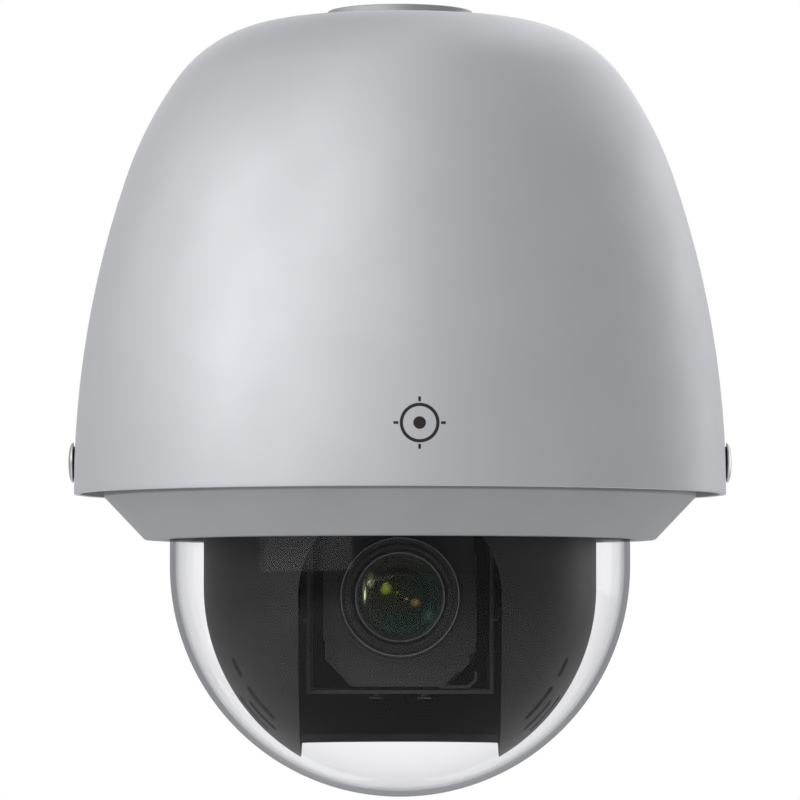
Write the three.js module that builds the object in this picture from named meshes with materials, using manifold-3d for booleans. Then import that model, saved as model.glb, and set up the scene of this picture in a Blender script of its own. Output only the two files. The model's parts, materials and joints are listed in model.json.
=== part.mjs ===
// A pan-tilt-zoom dome camera that hangs from a pipe, in millimetres.
// The origin is the centre of the collar's top face, +Z is up and the lens looks along -Y at rest.
import * as THREE from "three";
import { mergeVertices } from "three/addons/utils/BufferGeometryUtils.js";
import Module from "manifold-3d";

const wasm = await Module();
wasm.setup();

// ---- Driving dimensions ----
const GAP = 0.3; // between pieces that touch
const RUN = 0.3; // between pieces that turn or slide on each other
const LARGE = 32; // sides of the casings
const MEDIUM = 24; // sides of rings and of the lens
const ROUND = 18; // sides of shafts, bushes and motors
const SMALL = 10; // sides of screws and pins

const COLLAR = { bore: 22.5, neck: 28, flange: 40, flangeTop: -10.5, flangeBottom: -14.9, spigot: 24.1 };
const SEAL = { inner: 25, outer: 39, thickness: 1.9 };
const COLLAR_SCREWS = { circle: 34, head: 3, headHeight: 2.2, shank: 1.8, hole: 2.1, tip: -21 };

// The bell is a chain of tangent arcs. A heading is the angle below level of the outline's tangent.
const BELL = { startRadius: 28.6, startHeight: -3.1, startHeading: 4, rim: -185.9 };
const BELL_ARCS = [
  { radius: 467, heading: 6.6, steps: 1 },
  { radius: 52, heading: 55, steps: 4 },
  { radius: 150, heading: 71.3, steps: 2 },
  { radius: 372, heading: 90, steps: 3 },
];
const SHIELD_WALL = 2.5;
const HOUSING = { inset: 14, wall: 2.5, land: 45, landHeight: -17.4, bore: 24.5, bottom: -179 };
const SHIELD_SCREW = { height: -174, seat: 124.4, washer: 6.15, washerThickness: 0.8, hole: 2.8 };
const SHIELD_SCREW_HEAD = { radius: 7.7, thickness: 1.8, shank: 2.4, length: 14 };
const SHIELD_BOSS = { radius: 4.9, end: 121.4, bore: 2.6, depth: 12 };

const RING = { top: -181.6, corner: -187.3, bottom: -203.8, outer: 113.7, foot: 98, bore: 89 };
const RING_POCKET = { inner: 98.4, outer: 107.4, floor: -194.5 };
const RING_SEAT = { radius: 91.4, height: -193.3 };
const RING_SCREWS = { circle: 94.2, head: 2.9, headHeight: 2.4, sink: 3, shank: 1.6, hole: 1.9, tip: -147.6 };
const BUBBLE = { centre: -213.8, radius: 88.4, wall: 3, flange: 91, flangeThickness: 3 };
const CLAMP = { inner: 84, thickness: 3 };
const O_RING = { inner: 87.2, thickness: 2 };

const CHASSIS = { radius: 104.6, bottom: -150, thickness: 3, hubBore: 19.5, hub: 24, hubEnd: -165.5 };
const PILLAR = { reach: 45, radius: 3.2, pin: 2, hole: 2.3 };
const MAIN_BOARD = { height: -100, radius: 72, thickness: 1.6 };
const POWER_BOARD = { height: -80, radius: 68, thickness: 1.6 };
const RIB = { inner: 90.5, width: 8, top: -150.3 };

const BEARING = { top: -153, bottom: -163, pitch: 30.5, ball: 2.9, track: 3.6, count: 8 };
const TURNTABLE = { radius: 76, top: -166, thickness: 3, hubInner: 37, hubOuter: 41, hubTop: -152.7, bore: 12.6 };
const PAN_DRIVE = { module: 3, wheelTeeth: 40, pinionTeeth: 10, width: 6, shaft: 3 };
const PAN_MOTOR = { side: 42, height: 34 };
const SLIP = { rotor: 12, stator: 19.2, flange: 23, top: -136 };
const FAN = { side: 40, height: 10, bore: 18, rotor: 17, hub: 8, place: -62, blades: 7 };

const SHROUD = { centre: -221.9, radius: 75.4, wall: 2.5, flange: 66, slot: 38, rearAngle: 37 };
const TILT = { height: -226, shaft: 4.8, bore: 5.1, wheelTeeth: 32, pinionTeeth: 10, module: 1.5, width: 5 };
const ARM = { inner: 42, outer: 46, topWidth: 44, end: 14, foot: 10 };
const BUSH = { radius: 8, hole: 8.3, flange: 10, flangeThickness: 1.7 };
const TILT_MOTOR = { radius: 10, inner: 56.3, outer: 68, bracketInner: 53.6, bracketOuter: 55.6 };

const CRADLE = { half: 35.4, wall: 2.2, front: 30, rear: 26, bottom: 36.5, sideTop: 20, tab: 9.2 };
const BLOCK = { half: 28, bottom: 34, top: 32, front: 29.7, rear: 28, wall: 2.2 };
const FRONT_PLATE = { half: 29, bottom: 33.6, top: 33, thickness: 3, chamfer: 9.6, hole: 20.6 };
const BARREL = { front: 55, radius: 22.7, body: 21.6, tail: 20.3, bore: 17.6, tailEnd: -12 };
const LENS_SEAT = { radius: 17.2, floor: 45.5, throat: 14.6 };
const LENS = { radius: 16.9, rim: 3, clear: 15.2, crown: 52.4 };
const GROUP_RADIUS = 17.2;

// ---- Shape helpers ----
const radians = THREE.MathUtils.degToRad;

// A manifold-3d solid of a closed three.js geometry.
function solidOf(geometry) {
  const bare = geometry.clone();
  bare.deleteAttribute("normal");
  bare.deleteAttribute("uv");
  const merged = mergeVertices(bare, 1e-3);
  const triVerts = [];
  for (let i = 0; i < merged.index.count; i += 3) {
    const [a, b, c] = [0, 1, 2].map((k) => merged.index.getX(i + k));
    if (a !== b && b !== c && c !== a) triVerts.push(a, b, c);
  }
  const shape = { numProp: 3, vertProperties: merged.attributes.position.array };
  return new wasm.Manifold(new wasm.Mesh({ ...shape, triVerts: new Uint32Array(triVerts) }));
}

function geometryOf(solid) {
  const { vertProperties, triVerts } = solid.getMesh();
  const geometry = new THREE.BufferGeometry();
  geometry.setAttribute("position", new THREE.BufferAttribute(vertProperties, 3));
  geometry.setIndex(new THREE.BufferAttribute(triVerts, 1));
  geometry.computeVertexNormals();
  return geometry;
}

// A solid of revolution about Z. Its profile of [radius, height] points is closed, or ends on the axis.
function spin(profile, sides = MEDIUM) {
  const loop = profile.map(([r, z]) => new THREE.Vector2(r, z));
  if (THREE.ShapeUtils.area(loop) < 0) loop.reverse();
  const onAxis = loop.filter((p) => p.x === 0).length;
  if (onAxis) while (loop[0].x !== 0 || loop.at(-1).x !== 0) loop.push(loop.shift());
  else loop.push(loop[0].clone());
  return solidOf(new THREE.LatheGeometry(loop, sides).rotateX(Math.PI / 2));
}

// A ring of rectangular section.
function ring(inner, outer, low, high, sides = MEDIUM) {
  return spin([[inner, low], [outer, low], [outer, high], [inner, high]], sides);
}

// A round bar along Z.
function rod(radius, low, high, sides = SMALL) {
  const bar = new THREE.CylinderGeometry(radius, radius, high - low, sides);
  return solidOf(bar.rotateX(Math.PI / 2).translate(0, 0, (low + high) / 2));
}

// A box between two corners.
function box([x0, y0, z0], [x1, y1, z1]) {
  const sized = new THREE.BoxGeometry(x1 - x0, y1 - y0, z1 - z0);
  return solidOf(sized.translate((x0 + x1) / 2, (y0 + y1) / 2, (z0 + z1) / 2));
}

// A flat outline pulled up along Z.
function slab(outline, low, high, curveSegments = 6) {
  const options = { depth: high - low, bevelEnabled: false, curveSegments };
  return solidOf(new THREE.ExtrudeGeometry(outline, options).translate(0, 0, low));
}

function outlineOf(points) {
  return new THREE.Shape(points.map(([x, y]) => new THREE.Vector2(x, y)));
}

// A point at an angle on a circle about Z.
function around(radius, degrees) {
  return [radius * Math.cos(radians(degrees)), radius * Math.sin(radians(degrees))];
}

// A spur gear about Z with straight-sided teeth, thinned for backlash. A tooth or a gap faces +X.
function gear(teeth, module, low, high, bore, toothFirst) {
  const pitch = (teeth * module) / 2;
  const tooth = 360 / teeth;
  const tip = pitch + 0.8 * module;
  const root = pitch - 1.1 * module;
  const start = toothFirst ? 0 : tooth / 2;
  const corners = [[root, -0.33], [tip, -0.11], [tip, 0.11], [root, 0.33]];
  const points = [];
  for (let k = 0; k < teeth; k++)
    for (const [radius, share] of corners) points.push(around(radius, start + (k + share) * tooth));
  const wheel = slab(outlineOf(points), low, high);
  return bore ? wheel.subtract(rod(bore, low - 1, high + 1, ROUND)) : wheel;
}

// The bell's outline moved inwards by an inset, from its top edge down to a given height.
function bellLine(inset, bottom = BELL.rim) {
  const points = [];
  let [r, z, from] = [BELL.startRadius, BELL.startHeight, radians(BELL.startHeading)];
  for (const { radius, heading, steps } of BELL_ARCS) {
    const to = radians(heading);
    const centre = [r - radius * Math.sin(from), z - radius * Math.cos(from)];
    for (let k = points.length ? 1 : 0; k <= steps; k++) {
      const angle = from + ((to - from) * k) / steps;
      const reach = radius - inset;
      points.push([centre[0] + reach * Math.sin(angle), centre[1] + reach * Math.cos(angle)]);
    }
    r = centre[0] + radius * Math.sin(to);
    z = centre[1] + radius * Math.cos(to);
    from = to;
  }
  const kept = points.filter((p) => p[1] > bottom);
  const [a, b] = [kept.at(-1), points[kept.length] ?? points.at(-1)];
  const share = a[1] === b[1] ? 0 : (a[1] - bottom) / (a[1] - b[1]);
  kept.push([a[0] + (b[0] - a[0]) * share, bottom]);
  return kept;
}

// ---- Scene graph ----
const camera = new THREE.Group();
const lowerWorks = new THREE.Group(); // origin on the tilt axis
const lensStack = new THREE.Group(); // +Z runs forwards along the optical axis
camera.add(lowerWorks);
lowerWorks.add(lensStack);
lowerWorks.position.z = TILT.height;
lensStack.rotation.x = Math.PI / 2;

const FINISH = {
  shell: { color: 0xb9bac2, roughness: 0.42, metalness: 0.1 },
  collar: { color: 0x83878a, roughness: 0.35, metalness: 0.8 },
  ring: { color: 0x8f9094, roughness: 0.45, metalness: 0.2 },
  screw: { color: 0xa9a9ab, roughness: 0.3, metalness: 0.9 },
  steel: { color: 0x9a9ca0, roughness: 0.3, metalness: 1 },
  brass: { color: 0xb08d4a, roughness: 0.35, metalness: 1 },
  rubber: { color: 0x1b1b1c, roughness: 0.8, metalness: 0 },
  black: { color: 0x1c1c1e, roughness: 0.5, metalness: 0 },
  charcoal: { color: 0x2b2b2e, roughness: 0.55, metalness: 0 },
  nylon: { color: 0xd9d6c8, roughness: 0.5, metalness: 0 },
  aluminium: { color: 0xb4b7ba, roughness: 0.4, metalness: 0.9 },
  board: { color: 0x1d5a3a, roughness: 0.5, metalness: 0 },
  bubble: { color: 0xf4f6f8, roughness: 0.03, metalness: 0, transparent: true, opacity: 0.2 },
  glass: { color: 0x3a4636, roughness: 0.02, metalness: 0, transparent: true, opacity: 0.6 },
};

// Names a solid and hangs it in a group.
function add(name, solid, finish, group = camera) {
  const piece = new THREE.Mesh(geometryOf(solid), new THREE.MeshStandardMaterial(FINISH[finish]));
  piece.name = name;
  group.add(piece);
  return piece;
}

// ---- Casing ----
function addCollar() {
  const { bore, neck, flange, flangeTop, flangeBottom, spigot } = COLLAR;
  const profile = [[bore, -24], [bore, -1], [bore + 1, 0], [neck - 0.8, 0], [neck, -0.8], [neck, flangeTop]];
  profile.push([flange, flangeTop], [flange, flangeBottom], [spigot, flangeBottom], [spigot, -24]);
  const sealTop = flangeBottom - GAP;
  let collar = spin(profile, LARGE);
  let seal = ring(SEAL.inner, SEAL.outer, sealTop - SEAL.thickness, sealTop);
  ["a", "b", "c"].forEach((letter, k) => {
    const [x, y] = around(COLLAR_SCREWS.circle, 90 + 120 * k);
    const hole = rod(COLLAR_SCREWS.hole, -30, 0).translate([x, y, 0]);
    collar = collar.subtract(hole);
    seal = seal.subtract(hole);
    const foot = flangeTop + GAP;
    const head = rod(COLLAR_SCREWS.head, foot, foot + COLLAR_SCREWS.headHeight);
    const screw = add("collar_screw_" + letter, head.add(rod(COLLAR_SCREWS.shank, COLLAR_SCREWS.tip, foot + 1)), "steel");
    screw.position.set(x, y, 0);
  });
  add("mount_collar", collar, "collar");
  add("collar_seal", seal, "rubber");
}

function addShield() {
  const outer = bellLine(0);
  const inner = bellLine(SHIELD_WALL);
  let shield = spin([...outer, ...inner.reverse()], LARGE);
  for (const side of [-1, 1]) {
    const hole = rod(SHIELD_SCREW.hole, 100, 140);
    const face = rod(SHIELD_SCREW.washer + 0.5, SHIELD_SCREW.seat, 140, ROUND);
    const cut = hole.add(face).rotate([0, 90 * side, 0]);
    shield = shield.subtract(cut.translate([0, 0, SHIELD_SCREW.height]));
  }
  add("sun_shield", shield, "shell");
}

function addShieldScrews() {
  const { radius, thickness, shank, length } = SHIELD_SCREW_HEAD;
  for (const [name, side] of [["left", -1], ["right", 1]]) {
    const group = new THREE.Group();
    group.position.z = SHIELD_SCREW.height;
    group.rotation.y = (Math.PI / 2) * side;
    camera.add(group);
    const washerTop = SHIELD_SCREW.seat + 0.2 + SHIELD_SCREW.washerThickness;
    const washer = ring(SHIELD_SCREW.hole, SHIELD_SCREW.washer, SHIELD_SCREW.seat + 0.2, washerTop, ROUND);
    add("shield_washer_" + name, washer, "rubber", group);
    const seat = washerTop + 0.2;
    const dome = [[0, seat], [radius, seat], [radius, seat + 0.7], [radius - 1.6, seat + 1.5]];
    dome.push([radius - 4, seat + thickness], [0, seat + thickness]);
    const screw = spin(dome, ROUND).add(rod(shank, seat - length, seat + 0.5));
    add("shield_screw_" + name, screw, "screw", group);
  }
}

function addHousing() {
  const { inset, wall, land, landHeight, bore, bottom } = HOUSING;
  const outer = bellLine(inset, bottom).filter(([r]) => r > land + 1);
  const inner = bellLine(inset + wall, bottom).filter(([r]) => r > land + 1);
  const landPoints = [[bore, landHeight], [land, landHeight]];
  const underPoints = [[land, landHeight - wall - 0.6], [bore, landHeight - wall - 0.6]];
  let shell = spin([...landPoints, ...outer, ...inner.reverse(), ...underPoints], MEDIUM);
  const core = bellLine(inset + 1, bottom).filter(([r]) => r > land + 1);
  const inside = spin([[0, landHeight - 2], [land, landHeight - 2], ...core, [0, bottom]], MEDIUM);
  for (const angle of [90, 210, 330]) {
    const rib = box([RIB.inner, -RIB.width / 2, bottom], [120, RIB.width / 2, RIB.top]).rotate([0, 0, angle]);
    const [x, y] = around(RING_SCREWS.circle, angle);
    shell = shell.add(rib.intersect(inside)).subtract(rod(RING_SCREWS.hole, bottom - 5, RIB.top + 5).translate([x, y, 0]));
    const [u, v] = around(COLLAR_SCREWS.circle, angle);
    shell = shell.subtract(rod(COLLAR_SCREWS.hole, -30, 0).translate([u, v, 0]));
  }
  for (const side of [-1, 1]) {
    const start = SHIELD_BOSS.end - SHIELD_BOSS.depth;
    const boss = rod(SHIELD_BOSS.radius, start, SHIELD_BOSS.end, ROUND);
    const drilled = boss.subtract(rod(SHIELD_BOSS.bore, start + 2, SHIELD_BOSS.end + 1));
    shell = shell.add(drilled.rotate([0, 90 * side, 0]).translate([0, 0, SHIELD_SCREW.height]));
  }
  add("housing_shell", shell, "aluminium");
  add("housing_gasket", ring(RING_POCKET.outer + 0.2, 110.4, RING.top + GAP, bottom - GAP, LARGE), "rubber");
}

function addDomeRing() {
  const { top, corner, bottom, outer, foot, bore } = RING;
  const profile = [[bore, bottom], [foot - 0.5, bottom], [foot, bottom + 0.6], [outer, corner], [outer, top]];
  profile.push([RING_POCKET.outer, top], [RING_POCKET.outer, -188.5], [RING_POCKET.inner, RING_POCKET.floor]);
  profile.push([RING_POCKET.inner, top], [RING_SEAT.radius, top], [RING_SEAT.radius, RING_SEAT.height], [bore, RING_SEAT.height]);
  let body = spin(profile, LARGE);
  ["a", "b", "c"].forEach((letter, k) => {
    const [x, y] = around(RING_SCREWS.circle, 90 + 120 * k);
    const sinkTop = bottom + RING_SCREWS.sink;
    const hole = rod(RING_SCREWS.hole, bottom - 1, top + 1).add(rod(RING_SCREWS.head + 0.3, bottom - 1, sinkTop));
    body = body.subtract(hole.translate([x, y, 0]));
    const headTop = sinkTop - GAP;
    const shank = rod(RING_SCREWS.shank, headTop - 1, RING_SCREWS.tip);
    const head = rod(RING_SCREWS.head, headTop - RING_SCREWS.headHeight, headTop);
    add("dome_ring_screw_" + letter, head.add(shank), "steel").position.set(x, y, 0);
  });
  add("dome_ring", body, "ring");
}

function addBubble() {
  const { centre, radius, wall, flange, flangeThickness } = BUBBLE;
  const flangeBottom = RING_SEAT.height + GAP;
  const flangeTop = flangeBottom + flangeThickness;
  const steps = 6;
  const outer = [[flange, flangeTop], [flange, flangeBottom], [radius, flangeBottom]];
  const inner = [[radius - wall, flangeTop]];
  for (let k = 0; k <= steps; k++) {
    const angle = (Math.PI / 2) * (k / steps);
    const [out, down] = k === steps ? [0, 1] : [Math.cos(angle), Math.sin(angle)];
    outer.push([radius * out, centre - radius * down]);
    inner.push([(radius - wall) * out, centre - (radius - wall) * down]);
  }
  add("dome_bubble", spin([...outer, ...inner.reverse()], LARGE), "bubble");
  const gasketTop = flangeTop + GAP + O_RING.thickness;
  add("dome_gasket", ring(O_RING.inner, flange, flangeTop + GAP, gasketTop), "rubber");
  const clampTop = gasketTop + GAP + CLAMP.thickness;
  add("dome_clamp_ring", ring(CLAMP.inner, flange, gasketTop + GAP, clampTop), "aluminium");
}

// ---- Fixed works inside the housing ----
function addChassis() {
  const { radius, bottom, thickness, hubBore, hub, hubEnd } = CHASSIS;
  const top = bottom + thickness;
  const profile = [[hubBore, hubEnd], [hub, hubEnd], [hub, bottom], [radius, bottom], [radius, top], [hubBore, top]];
  let plate = spin(profile, MEDIUM);
  for (const x of [-PILLAR.reach, PILLAR.reach])
    for (const y of [-PILLAR.reach, PILLAR.reach]) {
      const post = rod(PILLAR.radius, top - 1, MAIN_BOARD.height - GAP);
      const pin = rod(PILLAR.pin, MAIN_BOARD.height - 1, POWER_BOARD.height - GAP);
      plate = plate.add(post.add(pin).translate([x, y, 0]));
    }
  for (const angle of [90, 210, 330]) {
    const [x, y] = around(RING_SCREWS.circle, angle);
    plate = plate.subtract(rod(RING_SCREWS.hole, bottom - 1, top + 1).translate([x, y, 0]));
  }
  plate = plate.subtract(rod(PAN_DRIVE.shaft + 0.5, bottom - 1, top + 1).translate([panCentreDistance(), 0, 0]));
  plate = plate.subtract(rod(FAN.bore - 2, bottom - 1, top + 1, ROUND).translate([FAN.place, 0, 0]));
  add("chassis_plate", plate, "aluminium");
}

function addBoards() {
  const { height, radius, thickness } = MAIN_BOARD;
  let main = rod(radius, height, height + thickness, MEDIUM);
  for (const x of [-PILLAR.reach, PILLAR.reach])
    for (const y of [-PILLAR.reach, PILLAR.reach]) {
      main = main.subtract(rod(PILLAR.hole, height - 1, height + 3).translate([x, y, 0]));
    }
  const chipTop = height + thickness + 6;
  main = main.add(box([-14, -14, height + 1], [14, 14, chipTop]));
  main = main.add(box([-40, 10, height + 1], [-24, 26, height + 3.4]));
  main = main.add(box([24, -26, height + 1], [44, -12, height + 3]));
  add("main_board", main, "board");
  const jackFoot = height + thickness + GAP;
  const jack = box([-8, -60, jackFoot], [8, -39, jackFoot + 13.5]);
  add("network_jack", jack.subtract(box([-6, -61, jackFoot + 2.5], [6, -48, jackFoot + 11])), "steel");
  const floor = POWER_BOARD.height;
  let power = rod(POWER_BOARD.radius, floor, floor + POWER_BOARD.thickness, MEDIUM);
  power = power.subtract(rod(COLLAR.bore, floor - 1, floor + 3, ROUND));
  power = power.add(rod(8, floor + 1, floor + 18).translate([38, 0, 0]));
  power = power.add(box([28, -38, floor + 1], [48, -18, floor + 14]));
  add("power_board", power, "board");
  const blockFoot = floor + POWER_BOARD.thickness + GAP;
  let block = box([-18, 34, blockFoot], [18, 46, blockFoot + 12]);
  for (let k = -2.5; k <= 2.5; k++) {
    block = block.subtract(box([6 * k - 2, 33, blockFoot + 2], [6 * k + 2, 40, blockFoot + 7]));
  }
  add("terminal_block", block, "nylon");
}

function addFan() {
  const floor = CHASSIS.bottom + CHASSIS.thickness + GAP;
  const half = FAN.side / 2;
  const frame = box([-half, -half, floor], [half, half, floor + FAN.height]);
  const spider = rod(FAN.hub, floor, floor + 1.2);
  const spokes = [0, 120, 240].map((a) => box([0, -1.2, floor], [half - 1, 1.2, floor + 1.2]).rotate([0, 0, a]));
  const pin = rod(1.5, floor, floor + 5);
  const base = spokes.reduce((sum, spoke) => sum.add(spoke), spider.add(pin));
  const shroud = frame.subtract(rod(FAN.bore, floor - 1, floor + FAN.height + 1, ROUND));
  add("fan_frame", shroud.add(base), "black").position.x = FAN.place;
  const low = floor + 1.2 + RUN;
  let rotor = rod(FAN.hub, low, floor + FAN.height - 1, SMALL);
  for (let k = 0; k < FAN.blades; k++) {
    const blade = box([FAN.hub - 2, -3.4, -0.6], [FAN.rotor - 0.6, 3.4, 0.6]).rotate([35, 0, 0]);
    rotor = rotor.add(blade.translate([0, 0, floor + 5.6]).rotate([0, 0, (360 * k) / FAN.blades]));
  }
  rotor = rotor.subtract(rod(1.9, low - 1, floor + 5.4));
  add("fan_rotor", rotor, "charcoal").position.x = FAN.place;
}

function addHeater() {
  const floor = CHASSIS.bottom + CHASSIS.thickness + GAP;
  let heater = box([-25, -80, floor], [25, -66, floor + 4]);
  for (let k = 0; k < 8; k++) {
    heater = heater.add(box([-25 + 7 * k, -80, floor + 3], [-24 + 7 * k, -66, floor + 14]));
  }
  add("heater_block", heater, "aluminium");
}

// ---- Pan works ----
function panCentreDistance() {
  return (PAN_DRIVE.module * (PAN_DRIVE.wheelTeeth + PAN_DRIVE.pinionTeeth)) / 2;
}

function addPanDrive() {
  const { module, wheelTeeth, pinionTeeth, width, shaft } = PAN_DRIVE;
  const low = TURNTABLE.top + GAP;
  add("pan_gear", gear(wheelTeeth, module, low, low + width, TURNTABLE.hubOuter + GAP + 0.4, true), "nylon");
  const pinionLow = low + 0.5;
  const chassisTop = CHASSIS.bottom + CHASSIS.thickness;
  const pinion = gear(pinionTeeth, module, pinionLow, pinionLow + width, 0, false);
  const spindle = rod(shaft, pinionLow + 1, chassisTop + 12);
  const centre = panCentreDistance();
  const pinionMesh = add("pan_pinion", pinion.add(spindle), "brass");
  pinionMesh.position.x = centre;
  const half = PAN_MOTOR.side / 2;
  const corner = 4;
  const outline = outlineOf([
    [half - corner, -half], [half, corner - half], [half, half - corner], [half - corner, half],
    [corner - half, half], [-half, half - corner], [-half, corner - half], [corner - half, -half],
  ]);
  const foot = chassisTop + GAP;
  const can = slab(outline, foot, foot + PAN_MOTOR.height);
  const motor = can.subtract(rod(shaft + 0.5, foot - 1, foot + 13));
  add("pan_motor", motor, "steel").position.x = centre;
}

function addPanBearing() {
  const { top, bottom, pitch, ball, track, count } = BEARING;
  const middle = (top + bottom) / 2;
  const land = 1.9; // half the clear width between the two races
  const groove = (side) =>
    [-55, -25, 25, 55].map((a) => [pitch + side * track * Math.cos(radians(a)), middle + track * Math.sin(radians(a))]);
  const inner = [[CHASSIS.hub + GAP, bottom], [pitch - land, bottom], ...groove(-1), [pitch - land, top]];
  inner.push([CHASSIS.hub + GAP, top]);
  const outer = [[TURNTABLE.hubInner - GAP, bottom], [pitch + land, bottom], ...groove(1), [pitch + land, top]];
  outer.push([TURNTABLE.hubInner - GAP, top]);
  add("pan_bearing_inner", spin(inner), "steel");
  add("pan_bearing_outer", spin(outer), "steel");
  let cage = ring(pitch - 1.1, pitch + 1.1, middle - 1.6, middle + 1.6, 16);
  for (let k = 0; k < count; k++) {
    const [x, y] = around(pitch, (360 * k) / count);
    cage = cage.add(solidOf(new THREE.IcosahedronGeometry(ball, 1).translate(x, y, middle)));
  }
  add("pan_bearing_balls", cage, "steel");
}

function addTurntable() {
  const { radius, top, thickness, hubInner, hubOuter, hubTop, bore } = TURNTABLE;
  const low = top - thickness;
  const profile = [[bore, low], [radius, low], [radius, top], [hubOuter, top], [hubOuter, hubTop]];
  profile.push([hubInner, hubTop], [hubInner, top], [bore, top]);
  add("turntable", spin(profile), "aluminium");
}

function addSlipRing() {
  const seat = CHASSIS.bottom + CHASSIS.thickness + GAP;
  const inner = SLIP.rotor + RUN;
  const profile = [[inner, CHASSIS.hubEnd], [SLIP.stator, CHASSIS.hubEnd], [SLIP.stator, seat], [SLIP.flange, seat]];
  profile.push([SLIP.flange, seat + 2], [inner + 3, seat + 2], [inner + 3, SLIP.top], [inner, SLIP.top]);
  add("slip_ring_stator", spin(profile, ROUND), "black");
  const flangeTop = TURNTABLE.top - TURNTABLE.thickness - GAP;
  const rotor = rod(SLIP.rotor, flangeTop - 2, SLIP.top - 1, ROUND);
  add("slip_ring_rotor", rotor.add(rod(17, flangeTop - 3, flangeTop, ROUND)), "charcoal");
}

// The slot is round-topped in front, runs under the shroud and ends on a level line short of its back.
function shroudSlot() {
  const { centre, radius, slot, rearAngle } = SHROUD;
  const floor = centre - radius - 10;
  const front = new THREE.Shape();
  front.moveTo(-slot, floor - TILT.height);
  front.lineTo(slot, floor - TILT.height);
  front.absarc(0, 0, slot, 0, Math.PI);
  const arch = slab(front, 0, 100, 8).rotate([90, 0, 0]).translate([0, 0, TILT.height]);
  const rear = radius * Math.sin(radians(rearAngle));
  const corner = Math.acos(slot / rear);
  const under = new THREE.Shape();
  under.moveTo(-slot, -radius);
  under.lineTo(slot, -radius);
  under.absarc(0, 0, rear, corner, Math.PI - corner);
  return arch.add(slab(under, floor, centre - 20, 4));
}

function addShroud() {
  const { centre, radius, wall, flange } = SHROUD;
  const top = TURNTABLE.top - TURNTABLE.thickness - GAP;
  const steps = 6;
  const outer = [[flange, top], [radius, top]];
  const inner = [[flange, top - 3], [radius - wall, top - 3]];
  for (let k = 0; k <= steps; k++) {
    const angle = (Math.PI / 2) * (k / steps);
    const [out, down] = k === steps ? [0, 1] : [Math.cos(angle), Math.sin(angle)];
    outer.push([radius * out, centre - radius * down]);
    inner.push([(radius - wall) * out, centre - (radius - wall) * down]);
  }
  add("shroud", spin([...outer, ...inner.reverse()], LARGE).subtract(shroudSlot()), "black");
}

// ---- Yoke and tilt drive, placed from the tilt axis ----
// Turns a solid made about Z so that its +Z runs along +X or -X.
function sideways(solid, side) {
  return solid.rotate([0, 90 * side, 0]);
}

function yokeArm(side) {
  const { inner, outer, topWidth, end, foot } = ARM;
  const top = TURNTABLE.top - TURNTABLE.thickness - GAP - TILT.height;
  const outline = new THREE.Shape();
  outline.moveTo(-topWidth / 2, top);
  outline.absarc(0, 0, end, Math.PI, 2 * Math.PI);
  outline.lineTo(topWidth / 2, top);
  const web = slab(outline, inner, outer, 8).rotate([90, 0, 90]);
  const flange = box([inner - foot, -topWidth / 2, top - 3], [inner + 1, topWidth / 2, top]);
  const arm = web.add(flange).subtract(sideways(rod(BUSH.hole, inner - 1, outer + 1, ROUND), 1));
  return side > 0 ? arm : arm.mirror([1, 0, 0]);
}

function addYoke() {
  for (const [name, side] of [["left", -1], ["right", 1]]) {
    add("yoke_arm_" + name, yokeArm(side), "aluminium", lowerWorks);
    const flangeEnd = ARM.inner - GAP;
    const flange = rod(BUSH.flange, flangeEnd - BUSH.flangeThickness, flangeEnd, ROUND);
    const sleeve = rod(BUSH.radius, flangeEnd - 1, ARM.outer, ROUND);
    const bush = flange.add(sleeve).subtract(rod(TILT.bore, 30, 60, ROUND));
    add("tilt_bush_" + name, sideways(bush, side), "brass", lowerWorks);
    const disc = rod(9, CRADLE.half + GAP, CRADLE.half + GAP + 2, ROUND);
    const shaft = rod(TILT.shaft, CRADLE.half + 1, side > 0 ? 53 : 47.5, ROUND);
    add("tilt_shaft_" + name, sideways(disc.add(shaft), side), "steel", lowerWorks);
  }
}

function addTiltDrive() {
  const { wheelTeeth, pinionTeeth, module, width, bore } = TILT;
  const low = ARM.outer + 1.5;
  const distance = (module * (wheelTeeth + pinionTeeth)) / 2;
  // The gear is made with a tooth towards +X; sideways turns that tooth to face down, so it starts on a gap.
  const wheel = gear(wheelTeeth, module, low, low + width, bore, true);
  add("tilt_gear", sideways(wheel, 1), "nylon", lowerWorks);
  const drive = new THREE.Group();
  drive.position.z = distance;
  lowerWorks.add(drive);
  const toothed = gear(pinionTeeth, module, low + 0.2, low + width - 0.2, 0, false);
  const spindle = rod(1.5, low + 1, TILT_MOTOR.inner + 5);
  add("tilt_pinion", sideways(toothed.add(spindle), 1), "brass", drive);
  const can = rod(TILT_MOTOR.radius, TILT_MOTOR.inner, TILT_MOTOR.outer, ROUND);
  const motor = can.subtract(rod(1.9, TILT_MOTOR.inner - 1, TILT_MOTOR.inner + 6));
  add("tilt_motor", sideways(motor, 1), "steel", drive);
  const top = TURNTABLE.top - TURNTABLE.thickness - GAP - TILT.height - distance;
  const plate = box([TILT_MOTOR.bracketInner, -12, -12], [TILT_MOTOR.bracketOuter, 12, top]);
  const foot = box([TILT_MOTOR.bracketInner, -12, top - 3], [63.5, 12, top]);
  const bracket = plate.add(foot).subtract(sideways(rod(2.2, 50, 60), 1));
  add("tilt_motor_bracket", bracket, "aluminium", drive);
}

// ---- Camera module, placed from the tilt axis ----
function addCradle() {
  const { half, wall, front, rear, bottom, sideTop, tab } = CRADLE;
  const floor = box([-half, -front, -bottom], [half, rear, wall - bottom]);
  const cheek = box([half - wall, -front, -bottom], [half, rear, sideTop]);
  let cradle = floor.add(cheek).add(cheek.mirror([1, 0, 0]));
  for (const x of [-tab, tab]) {
    cradle = cradle.add(rod(2.6, -1.9, 1).translate([x, 3 - front, -bottom]));
  }
  add("tilt_cradle", cradle, "charcoal", lowerWorks);
}

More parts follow.
